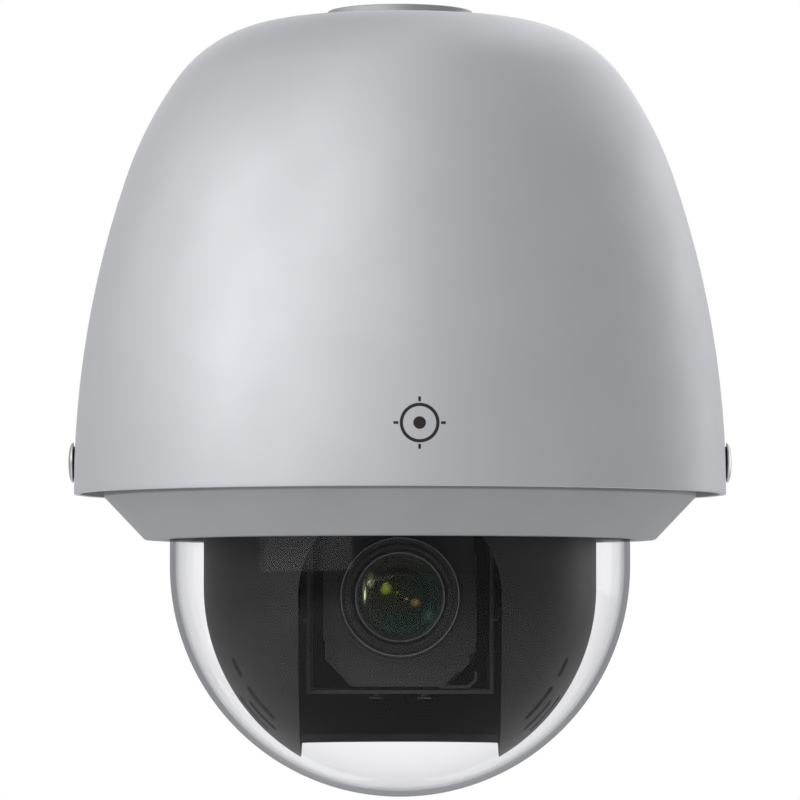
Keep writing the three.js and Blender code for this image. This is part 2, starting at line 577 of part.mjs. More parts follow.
function addCameraBlock() {
  const { half, bottom, top, front, rear, wall } = BLOCK;
  const outer = box([-half, -front, -bottom], [half, rear, top]);
  const inner = box([wall - half, -front - 1, wall - bottom], [half - wall, rear - wall, top - wall]);
  add("camera_block", outer.subtract(inner), "black", lowerWorks);
}

function addFrontPlate() {
  const { half, bottom, top, thickness, chamfer, hole } = FRONT_PLATE;
  const outline = outlineOf([
    [chamfer - half, -bottom], [half - chamfer, -bottom], [half, chamfer - bottom],
    [half, top], [-half, top], [-half, chamfer - bottom],
  ]);
  const low = BLOCK.front + GAP;
  const plate = slab(outline, low, low + thickness);
  add("camera_front_plate", plate.subtract(rod(hole, low - 1, low + 9, MEDIUM)), "charcoal", lensStack);
}

function addLensBarrel() {
  const { front, radius, body, tail, bore, tailEnd } = BARREL;
  const shoulder = BLOCK.front + FRONT_PLATE.thickness + 2 * GAP;
  const profile = [[bore, tailEnd], [tail, tailEnd], [tail, shoulder], [body, shoulder], [body, 45], [radius, 46]];
  profile.push([radius, front - 0.8], [radius - 0.8, front], [LENS_SEAT.radius + 1, front], [LENS_SEAT.radius, front - 1]);
  profile.push([LENS_SEAT.radius, LENS_SEAT.floor], [LENS_SEAT.throat, LENS_SEAT.floor]);
  profile.push([LENS_SEAT.throat, LENS_SEAT.floor - 2.5], [bore, LENS_SEAT.floor - 2.5]);
  add("lens_barrel", spin(profile), "black", lensStack);
}

function addFrontLens() {
  const low = LENS_SEAT.floor + GAP;
  const rim = low + LENS.rim;
  const profile = [[0, low], [LENS.radius, low], [LENS.radius, rim], [LENS.clear, rim]];
  const steps = 4;
  for (let k = 1; k <= steps; k++) {
    const angle = (Math.PI / 2) * (k / steps);
    const out = k === steps ? 0 : Math.cos(angle);
    profile.push([LENS.clear * out, rim + (LENS.crown - rim) * Math.sin(angle)]);
  }
  add("front_lens", spin(profile), "glass", lensStack);
  const foot = rim + GAP;
  const clamp = [[LENS.clear + 0.5, foot], [LENS.radius, foot], [LENS.radius, foot + 3.2], [LENS.clear + 1, foot + 3.2]];
  add("lens_retaining_ring", spin(clamp), "aluminium", lensStack);
}

// A lens in its cell: a rim ring of full radius with a bulged glass in the middle.
function lensGroup(low, high, bulge) {
  const clear = GROUP_RADIUS - 4;
  return spin([
    [0, low - bulge], [clear * 0.6, low - bulge * 0.6], [clear, low + 0.6], [clear, low], [GROUP_RADIUS, low],
    [GROUP_RADIUS, high], [clear, high], [clear, high - 0.6], [clear * 0.6, high + bulge * 0.6], [0, high + bulge],
  ], ROUND);
}

function addLensGroups() {
  add("zoom_lens_group", lensGroup(31, 38, 1.5), "glass", lensStack);
  add("focus_lens_group", lensGroup(-1, 4.5, 0.8), "glass", lensStack);
  add("rear_lens", lensGroup(-11.5, -8.4, 0.4), "glass", lensStack);
  const notch = 3.5;
  const blade = outlineOf([[-9, 10.5], [-9, -2.5], [-notch, -2.5], [0, notch], [notch, -2.5], [9, -2.5], [9, 10.5]]);
  add("iris_blade_upper", slab(blade, 11, 11.6), "black", lensStack);
  add("iris_blade_lower", slab(blade, 11, 11.6).rotate([0, 0, 180]).translate([0, 0, 1]), "black", lensStack);
  const frame = box([-18, -8, -14.9], [6, 8, -13.4]);
  add("ir_cut_filter", frame, "glass", lensStack);
  const board = box([-23, -28, -20.8], [23, 26, -19.2]);
  add("sensor_board", board.add(box([-8, -7, -20], [8, 7, -16.4])), "board", lensStack);
}

addCollar();
addShield();
addShieldScrews();
addHousing();
addDomeRing();
addBubble();
addChassis();
addBoards();
addFan();
addHeater();
addPanDrive();
addPanBearing();
addTurntable();
addSlipRing();
addShroud();
addYoke();
addTiltDrive();
addCradle();
addCameraBlock();
addFrontPlate();
addLensBarrel();
addFrontLens();
addLensGroups();

export default camera;
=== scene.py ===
"""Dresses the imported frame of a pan-tilt-zoom dome camera that hangs from a pipe.

Lengths here are in millimetres, in the frame's own axes, and the bench and the shader graphs turn
them to metres. +Z runs up the pan axis, the origin is the centre of the pipe collar's top face, and
the lens looks along -Y at rest.
"""

from __future__ import annotations

import json
import logging
import math
from dataclasses import dataclass, field
from enum import Enum
from typing import Callable, Iterable, Sequence

import bpy
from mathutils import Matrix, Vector

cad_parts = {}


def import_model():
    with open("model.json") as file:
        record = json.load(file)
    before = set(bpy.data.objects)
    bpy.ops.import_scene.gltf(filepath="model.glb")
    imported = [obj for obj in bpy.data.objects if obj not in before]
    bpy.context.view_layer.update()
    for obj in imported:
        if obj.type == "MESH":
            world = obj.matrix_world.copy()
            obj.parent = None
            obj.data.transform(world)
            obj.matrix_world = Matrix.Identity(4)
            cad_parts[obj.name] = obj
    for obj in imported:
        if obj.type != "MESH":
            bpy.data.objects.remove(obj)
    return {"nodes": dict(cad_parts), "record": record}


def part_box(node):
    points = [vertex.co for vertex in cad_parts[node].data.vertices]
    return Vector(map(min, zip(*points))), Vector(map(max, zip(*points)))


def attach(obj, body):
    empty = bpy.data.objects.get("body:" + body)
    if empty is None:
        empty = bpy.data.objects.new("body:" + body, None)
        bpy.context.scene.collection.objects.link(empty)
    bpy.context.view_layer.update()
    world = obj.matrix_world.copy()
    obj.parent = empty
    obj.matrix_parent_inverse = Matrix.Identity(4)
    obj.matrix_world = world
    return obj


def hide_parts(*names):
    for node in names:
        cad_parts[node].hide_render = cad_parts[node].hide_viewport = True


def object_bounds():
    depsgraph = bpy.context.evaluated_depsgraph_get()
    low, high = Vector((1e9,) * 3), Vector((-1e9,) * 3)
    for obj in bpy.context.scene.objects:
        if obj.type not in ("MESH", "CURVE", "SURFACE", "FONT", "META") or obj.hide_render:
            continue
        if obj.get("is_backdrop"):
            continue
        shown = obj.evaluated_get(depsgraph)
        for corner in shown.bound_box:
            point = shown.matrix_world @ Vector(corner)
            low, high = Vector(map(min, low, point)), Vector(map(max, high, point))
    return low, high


LOG = logging.getLogger("dome_camera")
MM = 0.001
Point = tuple[float, float]
Place = tuple[float, float, float]
Colour = tuple[float, float, float]
Piece = bpy.types.Object


class Axis(Enum):
    """Which way a piece made along +Z is turned, as angles about X, Y and Z."""

    UP = (0.0, 0.0, 0.0)
    DOWN = (math.pi, 0.0, 0.0)
    FORWARD = (math.pi / 2, 0.0, 0.0)
    RIGHT = (0.0, math.pi / 2, 0.0)
    LEFT = (0.0, -math.pi / 2, 0.0)


# ---------------------------------------------------------------- outlines


def outline(*corners: Sequence[float], steps: int = 5) -> list[Point]:
    """Rounds the corners of a closed outline.

    Args:
        corners: (across, up), or (across, up, radius) for a corner that is rounded.
        steps: how many edges each round corner gets.

    Returns:
        The outline's points, in the same order.
    """
    points: list[Point] = []
    for k, corner in enumerate(corners):
        here = Vector(corner[:2])
        if len(corner) < 3:
            points.append(tuple(here))
            continue
        before = (Vector(corners[k - 1][:2]) - here).normalized()
        after = (Vector(corners[(k + 1) % len(corners)][:2]) - here).normalized()
        half = before.angle(after) / 2
        centre = here + (before + after).normalized() * (corner[2] / math.sin(half))
        reach = corner[2] / math.tan(half)
        first, last = here + before * reach - centre, here + after * reach - centre
        for step in range(steps + 1):
            points.append(tuple(centre + first.slerp(last, step / steps) * corner[2]))
    return points


def arc(centre: Point, radius: float, start: float, end: float, steps: int) -> list[Point]:
    """Points on a circle.

    Args:
        centre: the circle's centre.
        radius: its radius.
        start: the first point's angle in degrees.
        end: the last point's angle.
        steps: how many edges there are.

    Returns:
        The points, the first and last included.
    """
    turns = [math.radians(start + (end - start) * k / steps) for k in range(steps + 1)]
    return [(centre[0] + radius * math.cos(t), centre[1] + radius * math.sin(t)) for t in turns]


def around(radius: float, degrees: float) -> Point:
    """A point at an angle on a circle about the origin."""
    return arc((0.0, 0.0), radius, degrees, degrees, 1)[0]


# ---------------------------------------------------------------- the bench


class Workpiece:
    """A mesh on the bench, shaped with Blender's own tools."""

    def __init__(self, obj: Piece) -> None:
        """Takes up an object."""
        self.obj = obj

    @classmethod
    def _chain(cls, points: Sequence[Place]) -> Workpiece:
        """Draws a chain of edges through points, and leaves it in edit mode, all selected."""
        bpy.ops.object.select_all(action="DESELECT")
        bpy.ops.mesh.primitive_plane_add(size=2.0)
        bpy.ops.object.mode_set(mode="EDIT")
        bpy.ops.mesh.merge(type="CENTER")
        here = Vector(points[0]) * MM
        bpy.ops.transform.translate(value=here)
        for point in points[1:]:
            there = Vector(point) * MM
            bpy.ops.mesh.extrude_vertices_move(TRANSFORM_OT_translate={"value": there - here})
            here = there
        bpy.ops.mesh.select_all(action="SELECT")
        return cls(bpy.context.active_object)

    def _close(self) -> None:
        """Merges doubles, turns every face outwards and leaves edit mode."""
        bpy.ops.mesh.select_all(action="SELECT")
        bpy.ops.mesh.remove_doubles(threshold=0.002 * MM)
        bpy.ops.mesh.normals_make_consistent(inside=False)
        bpy.ops.object.mode_set(mode="OBJECT")

    @classmethod
    def turned(
        cls,
        profile: Sequence[Point],
        steps: int = 128,
        axis: Axis = Axis.UP,
        centre: Place = (0.0, 0.0, 0.0),
    ) -> Workpiece:
        """Spins an outline into a solid of revolution.

        Args:
            profile: (radius, height) points that end on the axis, or a closed outline.
            steps: sides to the full turn.
            axis: which way the height runs.
            centre: where radius 0 and height 0 are.

        Returns:
            The solid.
        """
        ends_on_axis = profile[0][0] == 0 and profile[-1][0] == 0
        loop = list(profile) if ends_on_axis else [*profile, profile[0]]
        made = cls._chain([(radius, 0.0, height) for radius, height in loop])
        bpy.ops.mesh.spin(steps=steps, angle=math.tau, center=(0, 0, 0), axis=(0, 0, 1))
        made._close()
        return made.put(axis, centre)

    @classmethod
    def plate(
        cls,
        flat: Sequence[Point],
        low: float,
        high: float,
        axis: Axis = Axis.UP,
        centre: Place = (0.0, 0.0, 0.0),
    ) -> Workpiece:
        """Pulls a closed flat outline up into a solid.

        Args:
            flat: the outline's points.
            low: the height of its lower face.
            high: the height of its upper face.
            axis: which way the height runs.
            centre: where the outline's origin is.

        Returns:
            The solid.
        """
        made = cls._chain([(x, y, low) for x, y in [*flat, flat[0]]])
        bpy.ops.mesh.remove_doubles(threshold=0.002 * MM)
        bpy.ops.mesh.edge_face_add()
        rise = (0.0, 0.0, (high - low) * MM)
        bpy.ops.mesh.extrude_region_move(TRANSFORM_OT_translate={"value": rise})
        made._close()
        return made.put(axis, centre)

    @classmethod
    def box(cls, low: Place, high: Place, edge: float = 0.0) -> Workpiece:
        """Makes a box between two corners.

        Args:
            low: its lowest corner.
            high: its highest corner.
            edge: the radius of its edges.

        Returns:
            The box.
        """
        bpy.ops.object.select_all(action="DESELECT")
        middle = (Vector(low) + Vector(high)) / 2 * MM
        bpy.ops.mesh.primitive_cube_add(size=1.0, location=middle)
        made = cls(bpy.context.active_object)
        made.obj.scale = (Vector(high) - Vector(low)) * MM
        made._settle()
        return made.bevel(edge) if edge else made

    @classmethod
    def rod(
        cls,
        radius: float,
        low: float,
        high: float,
        axis: Axis = Axis.UP,
        centre: Place = (0.0, 0.0, 0.0),
        steps: int = 48,
        edge: float = 0.0,
    ) -> Workpiece:
        """Makes a round bar.

        Args:
            radius: its radius.
            low: its lower end along the axis.
            high: its upper end.
            axis: which way it runs.
            centre: where its own origin is.
            steps: its number of sides.
            edge: the radius of its edges.

        Returns:
            The bar.
        """
        corner = (edge,) if edge else ()
        ends = outline((0, low), (radius, low, *corner), (radius, high, *corner), (0, high), steps=3)
        return cls.turned(ends, steps, axis, centre)

    @classmethod
    def pipe(
        cls,
        inner: float,
        outer: float,
        low: float,
        high: float,
        axis: Axis = Axis.UP,
        centre: Place = (0.0, 0.0, 0.0),
        edge: float = 0.2,
        steps: int = 96,
    ) -> Workpiece:
        """Makes a ring with rounded edges.

        Args:
            inner: the bore's radius.
            outer: the outer radius.
            low: its lower face along the axis.
            high: its upper face.
            axis: which way it runs.
            centre: where its own origin is.
            edge: the radius of its edges.
            steps: its number of sides.

        Returns:
            The ring.
        """
        section = [(inner, low, edge), (outer, low, edge), (outer, high, edge), (inner, high, edge)]
        return cls.turned(outline(*section, steps=3), steps, axis, centre)

    def _settle(self) -> None:
        """Applies the object's place, turn and scale to its mesh."""
        self._choose()
        bpy.ops.object.transform_apply(location=True, rotation=True, scale=True)

    def _choose(self) -> None:
        """Makes this the only selected object."""
        bpy.ops.object.select_all(action="DESELECT")
        self.obj.select_set(True)
        bpy.context.view_layer.objects.active = self.obj

    def put(self, axis: Axis, centre: Place) -> Workpiece:
        """Turns the piece to an axis and moves it to a centre."""
        return self.turn(axis.value, centre)

    def turn(self, angles: Place, centre: Place = (0.0, 0.0, 0.0)) -> Workpiece:
        """Turns the piece by angles in radians about the origin, then moves it to a centre."""
        self.obj.rotation_euler = angles
        self.obj.location = Vector(centre) * MM
        self._settle()
        return self

    def copy(self) -> Workpiece:
        """Makes a copy with its own mesh."""
        self._choose()
        bpy.ops.object.duplicate()
        return Workpiece(bpy.context.active_object)

    def apply(self, kind: str, **settings: object) -> Workpiece:
        """Adds a modifier, sets it up and applies it."""
        self._choose()
        modifier = self.obj.modifiers.new(kind.lower(), kind)
        for key, value in settings.items():
            setattr(modifier, key, value)
        bpy.ops.object.modifier_apply(modifier=modifier.name)
        return self

    def bevel(self, width: float, segments: int = 2, angle: float = 40.0) -> Workpiece:
        """Rounds every edge that is sharper than an angle in degrees."""
        settings = {"limit_method": "ANGLE", "angle_limit": math.radians(angle)}
        return self.apply("BEVEL", width=width * MM, segments=segments, **settings)

    def cut(self, *tools: Workpiece) -> Workpiece:
        """Takes other pieces away from this one, and uses them up."""
        return self._combine("DIFFERENCE", tools)

    def weld(self, *others: Workpiece) -> Workpiece:
        """Joins overlapping pieces to this one as one solid, and uses them up."""
        return self._combine("UNION", others)

    def _combine(self, operation: str, others: Iterable[Workpiece]) -> Workpiece:
        """Runs a boolean with each of the other pieces and removes it."""
        for other in others:
            self.apply("BOOLEAN", operation=operation, solver="EXACT", object=other.obj)
            bpy.data.objects.remove(other.obj)
        return self

    def join(self, *others: Workpiece) -> Workpiece:
        """Holds separate solids in one mesh with this one."""
        bpy.ops.object.select_all(action="DESELECT")
        for other in others:
            other.obj.select_set(True)
        self.obj.select_set(True)
        bpy.context.view_layer.objects.active = self.obj
        bpy.ops.object.join()
        return self

    def done(self, name: str, smooth: float = 32.0) -> Piece:
        """Names the finished piece and shades it smooth up to an angle in degrees."""
        self._choose()
        bpy.ops.object.mode_set(mode="EDIT")
        bpy.ops.mesh.select_all(action="SELECT")
        bpy.ops.mesh.remove_doubles(threshold=0.003 * MM)
        bpy.ops.mesh.dissolve_degenerate(threshold=0.001 * MM)
        bpy.ops.object.mode_set(mode="OBJECT")
        bpy.ops.object.shade_smooth_by_angle(angle=math.radians(smooth))
        self.obj.name = name
        self.obj.data.name = name
        return self.obj


# ---------------------------------------------------------------- shader graphs


class Signal:
    """A shader socket that takes part in arithmetic."""

    def __init__(self, graph: Graph, socket: bpy.types.NodeSocket) -> None:
        """Wraps an output socket of a graph."""
        self.graph = graph
        self.socket = socket

    def _math(self, operation: str, *values: Signal | float, clamp: bool = False) -> Signal:
        """Adds a Math node.

        Args:
            operation: the node's operation.
            values: its inputs, as signals or numbers.
            clamp: whether the result is kept from 0 to 1.

        Returns:
            The node's result.
        """
        settings = {"operation": operation, "use_clamp": clamp}
        return self.graph.node("ShaderNodeMath", settings, dict(enumerate(values)))

    def __add__(self, other: Signal | float) -> Signal:
        """The sum."""
        return self._math("ADD", self, other)

    __radd__ = __add__

    def __sub__(self, other: Signal | float) -> Signal:
        """The difference."""
        return self._math("SUBTRACT", self, other)

    def __rsub__(self, other: float) -> Signal:
        """The difference from a number."""
        return self._math("SUBTRACT", other, self)

    def __mul__(self, other: Signal | float) -> Signal:
        """The product."""
        return self._math("MULTIPLY", self, other)

    __rmul__ = __mul__

    def __truediv__(self, other: Signal | float) -> Signal:
        """The quotient."""
        return self._math("DIVIDE", self, other)

    def __pow__(self, other: float) -> Signal:
        """A power."""
        return self._math("POWER", self, other)

    def __abs__(self) -> Signal:
        """The distance from zero."""
        return self._math("ABSOLUTE", self)

    def fraction(self) -> Signal:
        """What is left past the whole number."""
        return self._math("FRACT", self)

    def above(self, edge: float, blur: float) -> Signal:
        """A mask of where the value is over an edge, softened over a width."""
        return self._math("MULTIPLY", self - (edge - blur / 2), 1 / blur, clamp=True)

    def below(self, edge: float, blur: float) -> Signal:
        """A mask of where the value is under an edge, softened over a width."""
        return 1 - self.above(edge, blur)

    def or_else(self, other: Signal) -> Signal:
        """The larger of two masks."""
        return self._math("MAXIMUM", self, other)


class Graph:
    """One material's node tree."""

    def __init__(self, name: str) -> None:
        """Starts an empty material of that name."""
        self.material = bpy.data.materials.new(name)
        self.material.use_nodes = True
        self.tree = self.material.node_tree
        self.tree.nodes.clear()

    def node(
        self,
        kind: str,
        settings: dict[str, object] | None = None,
        inputs: dict[int | str, object] | None = None,
        output: int | str = 0,
    ) -> Signal:
        """Adds a node of any type.

        Args:
            kind: the node's type.
            settings: its properties, which are set first.
            inputs: values or signals by socket.
            output: the socket to hand back.

        Returns:
            The chosen output.
        """
        made = self.tree.nodes.new(kind)
        for key, value in (settings or {}).items():
            setattr(made, key, value)
        for key, value in (inputs or {}).items():
            if isinstance(value, Signal):
                self.tree.links.new(value.socket, made.inputs[key])
            else:
                made.inputs[key].default_value = value
        return Signal(self, made.outputs[output])

    def place(self, centre: Place = (0.0, 0.0, 0.0)) -> Signal:
        """Object coordinates in millimetres, counted from a centre."""
        where = self.node("ShaderNodeTexCoord", output="Object")
        inputs = {0: where, 1: tuple(-c for c in centre), 3: (1 / MM,) * 3}
        return self.node("ShaderNodeMapping", None, inputs)

    def axes(self, where: Signal) -> list[Signal]:
        """The three parts of a vector."""
        split = self.node("ShaderNodeSeparateXYZ", None, {0: where}).socket.node
        return [Signal(self, output) for output in split.outputs]

    def vector(self, x: Signal | float, y: Signal | float, z: Signal | float) -> Signal:
        """A vector of three values."""
        return self.node("ShaderNodeCombineXYZ", None, {0: x, 1: y, 2: z})

    def distance(self, *parts: Signal) -> Signal:
        """The distance from the origin along some axes."""
        return sum((part * part for part in parts[1:]), parts[0] * parts[0]) ** 0.5

    def noise(self, where: Signal, scale: float, detail: float = 2.0) -> Signal:
        """Noise about 0.5 with so many cells a millimetre."""
        inputs = {"Vector": where, "Scale": scale, "Detail": detail}
        return self.node("ShaderNodeTexNoise", None, inputs)

    def mix(self, share: Signal, first: Colour | Signal, second: Colour | Signal) -> Signal:
        """A colour between two.

        Args:
            share: how much of the second is used.
            first: the colour at 0.
            second: the colour at 1.

        Returns:
            The mixed colour.
        """
        pair = [c if isinstance(c, Signal) else (*c, 1.0) for c in (first, second)]
        inputs = {0: share, 6: pair[0], 7: pair[1]}
        return self.node("ShaderNodeMix", {"data_type": "RGBA"}, inputs, 2)

    def bump(self, height: Signal, depth: float) -> Signal:
        """A normal from a height map whose full range is a depth."""
        return self.node("ShaderNodeBump", None, {"Distance": depth * MM, "Height": height})

    def principled(self, **inputs: object) -> bpy.types.Material:
        """Finishes the material on a Principled shader.

        Args:
            inputs: values or signals by socket name, with _ for a space.

        Returns:
            The material.
        """
        named = {key.replace("_", " "): value for key, value in inputs.items()}
        return self.end(self.node("ShaderNodeBsdfPrincipled", None, named))

    def end(self, shader: Signal) -> bpy.types.Material:
        """Finishes the material on a shader."""
        out = self.tree.nodes.new("ShaderNodeOutputMaterial")
        self.tree.links.new(shader.socket, out.inputs["Surface"])
        return self.material


# ---------------------------------------------------------------- finishes


def shade_of(colour: Colour, share: float) -> Colour:
    """A colour made darker or lighter."""
    return tuple(min(1.0, part * share) for part in colour)


@dataclass(frozen=True)
class Paint:
    """Satin silver-grey paint over a casting, with an optional printed mark on the front."""

    colour: Colour
    roughness: float
    flake: float = 0.6
    peel: float = 0.005
    mark: Point | None = None
    ink: Colour = (0.025, 0.022, 0.02)
    mark_radius: float = 6.6

    def make(self, name: str) -> bpy.types.Material:
        """Builds the material."""
        graph = Graph(name)
        where = graph.place()
        mottle = graph.noise(where, 0.04, 3.0)
        grain = graph.noise(where, 1.9, 3.0)
        colour = graph.mix(mottle.above(0.5, 0.6), shade_of(self.colour, 1.02), shade_of(self.colour, 0.97))
        if self.mark:
            colour = graph.mix(self._printed(graph), colour, self.ink)
        return graph.principled(
            Base_Color=colour,
            Metallic=self.flake,
            Roughness=self.roughness + 0.08 * mottle + 0.05 * grain,
            Normal=graph.bump(grain, self.peel),
        )

    def _printed(self, graph: Graph) -> Signal:
        """A mask of a lens pictogram: a ring, a dot and four short ticks."""
        x, y, z = graph.axes(graph.place((self.mark[0], 0.0, self.mark[1])))
        reach = graph.distance(x, z)
        ring = abs(reach - self.mark_radius).below(0.6, 0.15)
        dot = reach.below(2.3, 0.15)
        ticks = abs(x).below(0.5, 0.15).or_else(abs(z).below(0.5, 0.15))
        ticks = ticks * abs(reach - self.mark_radius - 2.0).below(0.9, 0.15)
        return ring.or_else(dot).or_else(ticks) * y.below(0.0, 1.0)


class Grain(Enum):
    """How a metal surface was made."""

    CAST = "cast"
    TURNED = "turned"
    DRAWN = "drawn"


@dataclass(frozen=True)
class Metal:
    """Bare or plated metal."""

    colour: Colour
    roughness: float
    grain: Grain = Grain.DRAWN
    depth: float = 0.004
    metallic: float = 1.0

    def make(self, name: str) -> bpy.types.Material:
        """Builds the material."""
        graph = Graph(name)
        where = graph.place()
        marks = self._marks(graph, where)
        stain = graph.noise(where, 0.08, 4.0)
        colour = graph.mix(stain.above(0.52, 0.5), self.colour, shade_of(self.colour, 0.86))
        return graph.principled(
            Base_Color=colour,
            Metallic=self.metallic,
            Roughness=self.roughness + 0.12 * marks + 0.08 * stain,
            Normal=graph.bump(marks, self.depth),
        )

    def _marks(self, graph: Graph, where: Signal) -> Signal:
        """The height map that the way of making leaves."""
        if self.grain is Grain.CAST:
            return 0.6 * graph.noise(where, 1.4, 4.0) + 0.4 * graph.noise(where, 5.0, 2.0)
        x, y, z = graph.axes(where)
        if self.grain is Grain.TURNED:
            return graph.noise(graph.vector(graph.distance(x, y) * 7.0, 0.0, z * 7.0), 1.0, 2.0)
        return graph.noise(graph.vector(x * 0.5, y * 6.0, z * 6.0), 1.0, 3.0)


@dataclass(frozen=True)
class Plastic:
    """Moulded plastic with a spark-eroded texture."""

    colour: Colour
    roughness: float
    texture: float = 0.0012
    scale: float = 1.3
    shine: float = 0.5

    def make(self, name: str) -> bpy.types.Material:
        """Builds the material."""
        graph = Graph(name)
        where = graph.place()
        pits = graph.noise(where, self.scale, 3.0)
        flow = graph.noise(where, 0.05, 2.0)
        colour = graph.mix(flow.above(0.5, 0.7), self.colour, shade_of(self.colour, 0.85))
        return graph.principled(
            Base_Color=colour,
            Roughness=self.roughness + 0.04 * pits + 0.06 * flow,
            Specular_IOR_Level=self.shine,
            Normal=graph.bump(pits, self.texture),
        )


@dataclass(frozen=True)
class Rubber:
    """Matt black rubber with a dusty bloom."""

    colour: Colour = (0.013, 0.013, 0.014)

    def make(self, name: str) -> bpy.types.Material:
        """Builds the material."""
        graph = Graph(name)
        where = graph.place()
        bloom = graph.noise(where, 0.3, 4.0)
        return graph.principled(
            Base_Color=graph.mix(bloom.above(0.55, 0.3), self.colour, shade_of(self.colour, 2.2)),
            Roughness=0.72 + 0.2 * bloom,
            Normal=graph.bump(graph.noise(where, 2.5, 2.0), 0.01),
        )


@dataclass(frozen=True)
class CircuitBoard:
    """Green solder mask with tracks and plated holes."""

    mask: Colour = (0.012, 0.10, 0.045)
    track: Colour = (0.03, 0.20, 0.09)
    plated: Colour = (0.75, 0.62, 0.32)

    def make(self, name: str) -> bpy.types.Material:
        """Builds the material."""
        graph = Graph(name)
        where = graph.place()
        bricks = {"Vector": where, "Scale": 1.0, "Mortar Size": 0.18, "Brick Width": 7.0, "Row Height": 1.6}
        tracks = graph.node("ShaderNodeTexBrick", {"offset": 0.37}, bricks, "Fac")
        cells = graph.node("ShaderNodeTexVoronoi", None, {"Vector": where, "Scale": 0.16}, "Distance")
        holes = cells.below(0.09, 0.02)
        colour = graph.mix(holes, graph.mix(tracks, self.mask, self.track), self.plated)
        return graph.principled(
            Base_Color=colour,
            Metallic=holes,
            Roughness=0.32 + 0.12 * graph.noise(where, 0.2, 3.0),
            Normal=graph.bump(tracks, 0.03),
        )


@dataclass(frozen=True)
class ClearShell:
    """A clear moulded bubble. It mirrors a little, and where its wall is seen edge-on a painted shade greys what shows
    through it, standing in for the dark line that refraction gives there.
    """

    tint: Colour = (0.985, 0.985, 0.99)
    # the colour of the painted shade at the wall's edge-on silhouette
    edge: Colour = (0.48, 0.485, 0.50)
    gloss: float = 0.0075
    graze: float = 0.25
    centre_height: float = -213.8
    skin_radius: float = 87.0
    painted_shade_falloff: float = 0.8
    painted_shade_facing: float = 0.76

    def make(self, name: str) -> bpy.types.Material:
        """Builds the material."""
        graph = Graph(name)
        where = graph.place((0.0, 0.0, self.centre_height))
        x, y, z = graph.axes(where)
        skin = graph.distance(x, y, z * z.below(0.0, 0.1)).above(self.skin_radius, 0.5)
        facing = graph.node("ShaderNodeLayerWeight", None, {"Blend": 0.5}, "Facing")
        # Painted shade: what shows through is greyed towards the edge colour where the outer wall is seen edge-on, in
        # place of refraction.
        rim = skin * (self.painted_shade_falloff * facing ** 3.0 + 0.65 * facing.above(self.painted_shade_facing, 0.08))
        clear = graph.node("ShaderNodeBsdfTransparent", None, {0: graph.mix(rim, self.tint, self.edge)})
        haze = graph.noise(where, 0.03, 2.0)
        surface = {"Color": (1.0, 1.0, 1.0, 1.0), "Roughness": 0.02 + 0.02 * haze}
        mirror = graph.node("ShaderNodeBsdfAnisotropic", None, surface)
        share = self.gloss + self.graze * facing ** 5.0
        return graph.end(graph.node("ShaderNodeMixShader", None, {0: share, 1: clear, 2: mirror}))


@dataclass(frozen=True)
class CoatedGlass:
    """A lens element whose anti-reflection coating mirrors one tint that drifts to another across it.

    Each glint is a painted reflection, a soft oval patch fixed to the glass where the mirror share is raised: how far
    right and up of the optical axis its middle is, its half width, its half height and its share.
    """

    tint: Colour
    drift: Colour = (0.10, 0.60, 0.45)
    passes: Colour = (0.90, 0.93, 0.91)
    strength: float = 0.05
    painted_glints: tuple[tuple[float, float, float, float, float], ...] = ()
    centre_height: float = -226.0

    def make(self, name: str) -> bpy.types.Material:
        """Builds the material."""
        graph = Graph(name)
        where = graph.place((0.0, 0.0, self.centre_height))
        x, y, z = graph.axes(where)
        across = (x - z + 3.0 * graph.noise(where, 0.2)).above(1.5, 6.0)
        clear = graph.node("ShaderNodeBsdfTransparent", None, {0: (*self.passes, 1.0)})
        coat = {"Color": graph.mix(across, self.tint, self.drift), "Roughness": 0.03}
        mirror = graph.node("ShaderNodeBsdfAnisotropic", None, coat)
        facing = graph.node("ShaderNodeLayerWeight", None, {"Blend": 0.5}, "Facing")
        share = self.strength + 0.4 * facing ** 5.0
        # painted reflections: each glint raises the mirror share in a fixed patch, standing in for a lamp's reflection
        for right, up, width, height, most in self.painted_glints:
            oval = graph.distance((x - right) / width, (z - up) / height)
            share = share + most * oval.below(0.6, 0.8)
        return graph.end(graph.node("ShaderNodeMixShader", None, {0: share, 1: clear, 2: mirror}))


SHELL_GREY = (0.50, 0.505, 0.53)
FINISHES: dict[str, object] = {
    "shell_paint": Paint(SHELL_GREY, 0.485, mark=(7.1, -163.6)),
    "collar_metal": Metal((0.36, 0.37, 0.38), 0.42, Grain.TURNED, metallic=0.6),
    "ring_paint": Paint((0.345, 0.35, 0.36), 0.5, peel=0.008),
    "cast_aluminium": Metal((0.55, 0.56, 0.57), 0.42, Grain.CAST, 0.02),
    "screw_steel": Metal((0.62, 0.61, 0.60), 0.26),
    "steel": Metal((0.5, 0.51, 0.52), 0.28),
    "brass": Metal((0.74, 0.55, 0.25), 0.3),
    "rubber": Rubber(),
    "black_plastic": Plastic((0.013, 0.013, 0.0135), 0.45, shine=0.2),
    "charcoal_plastic": Plastic((0.033, 0.033, 0.034), 0.5, shine=0.2),
    "lens_black": Plastic((0.006, 0.006, 0.0065), 0.35, 0.002, shine=0.2),
    "lens_ring": Metal((0.13, 0.131, 0.134), 0.34, Grain.TURNED),
    "gear_nylon": Plastic((0.68, 0.66, 0.57), 0.5, 0.006),
    "circuit_board": CircuitBoard(),
    "clear_dome": ClearShell(),
    "lens_glass": CoatedGlass((0.35, 0.75, 0.25), (0.5, 0.2, 0.6)),
}


# ---------------------------------------------------------------- the frame


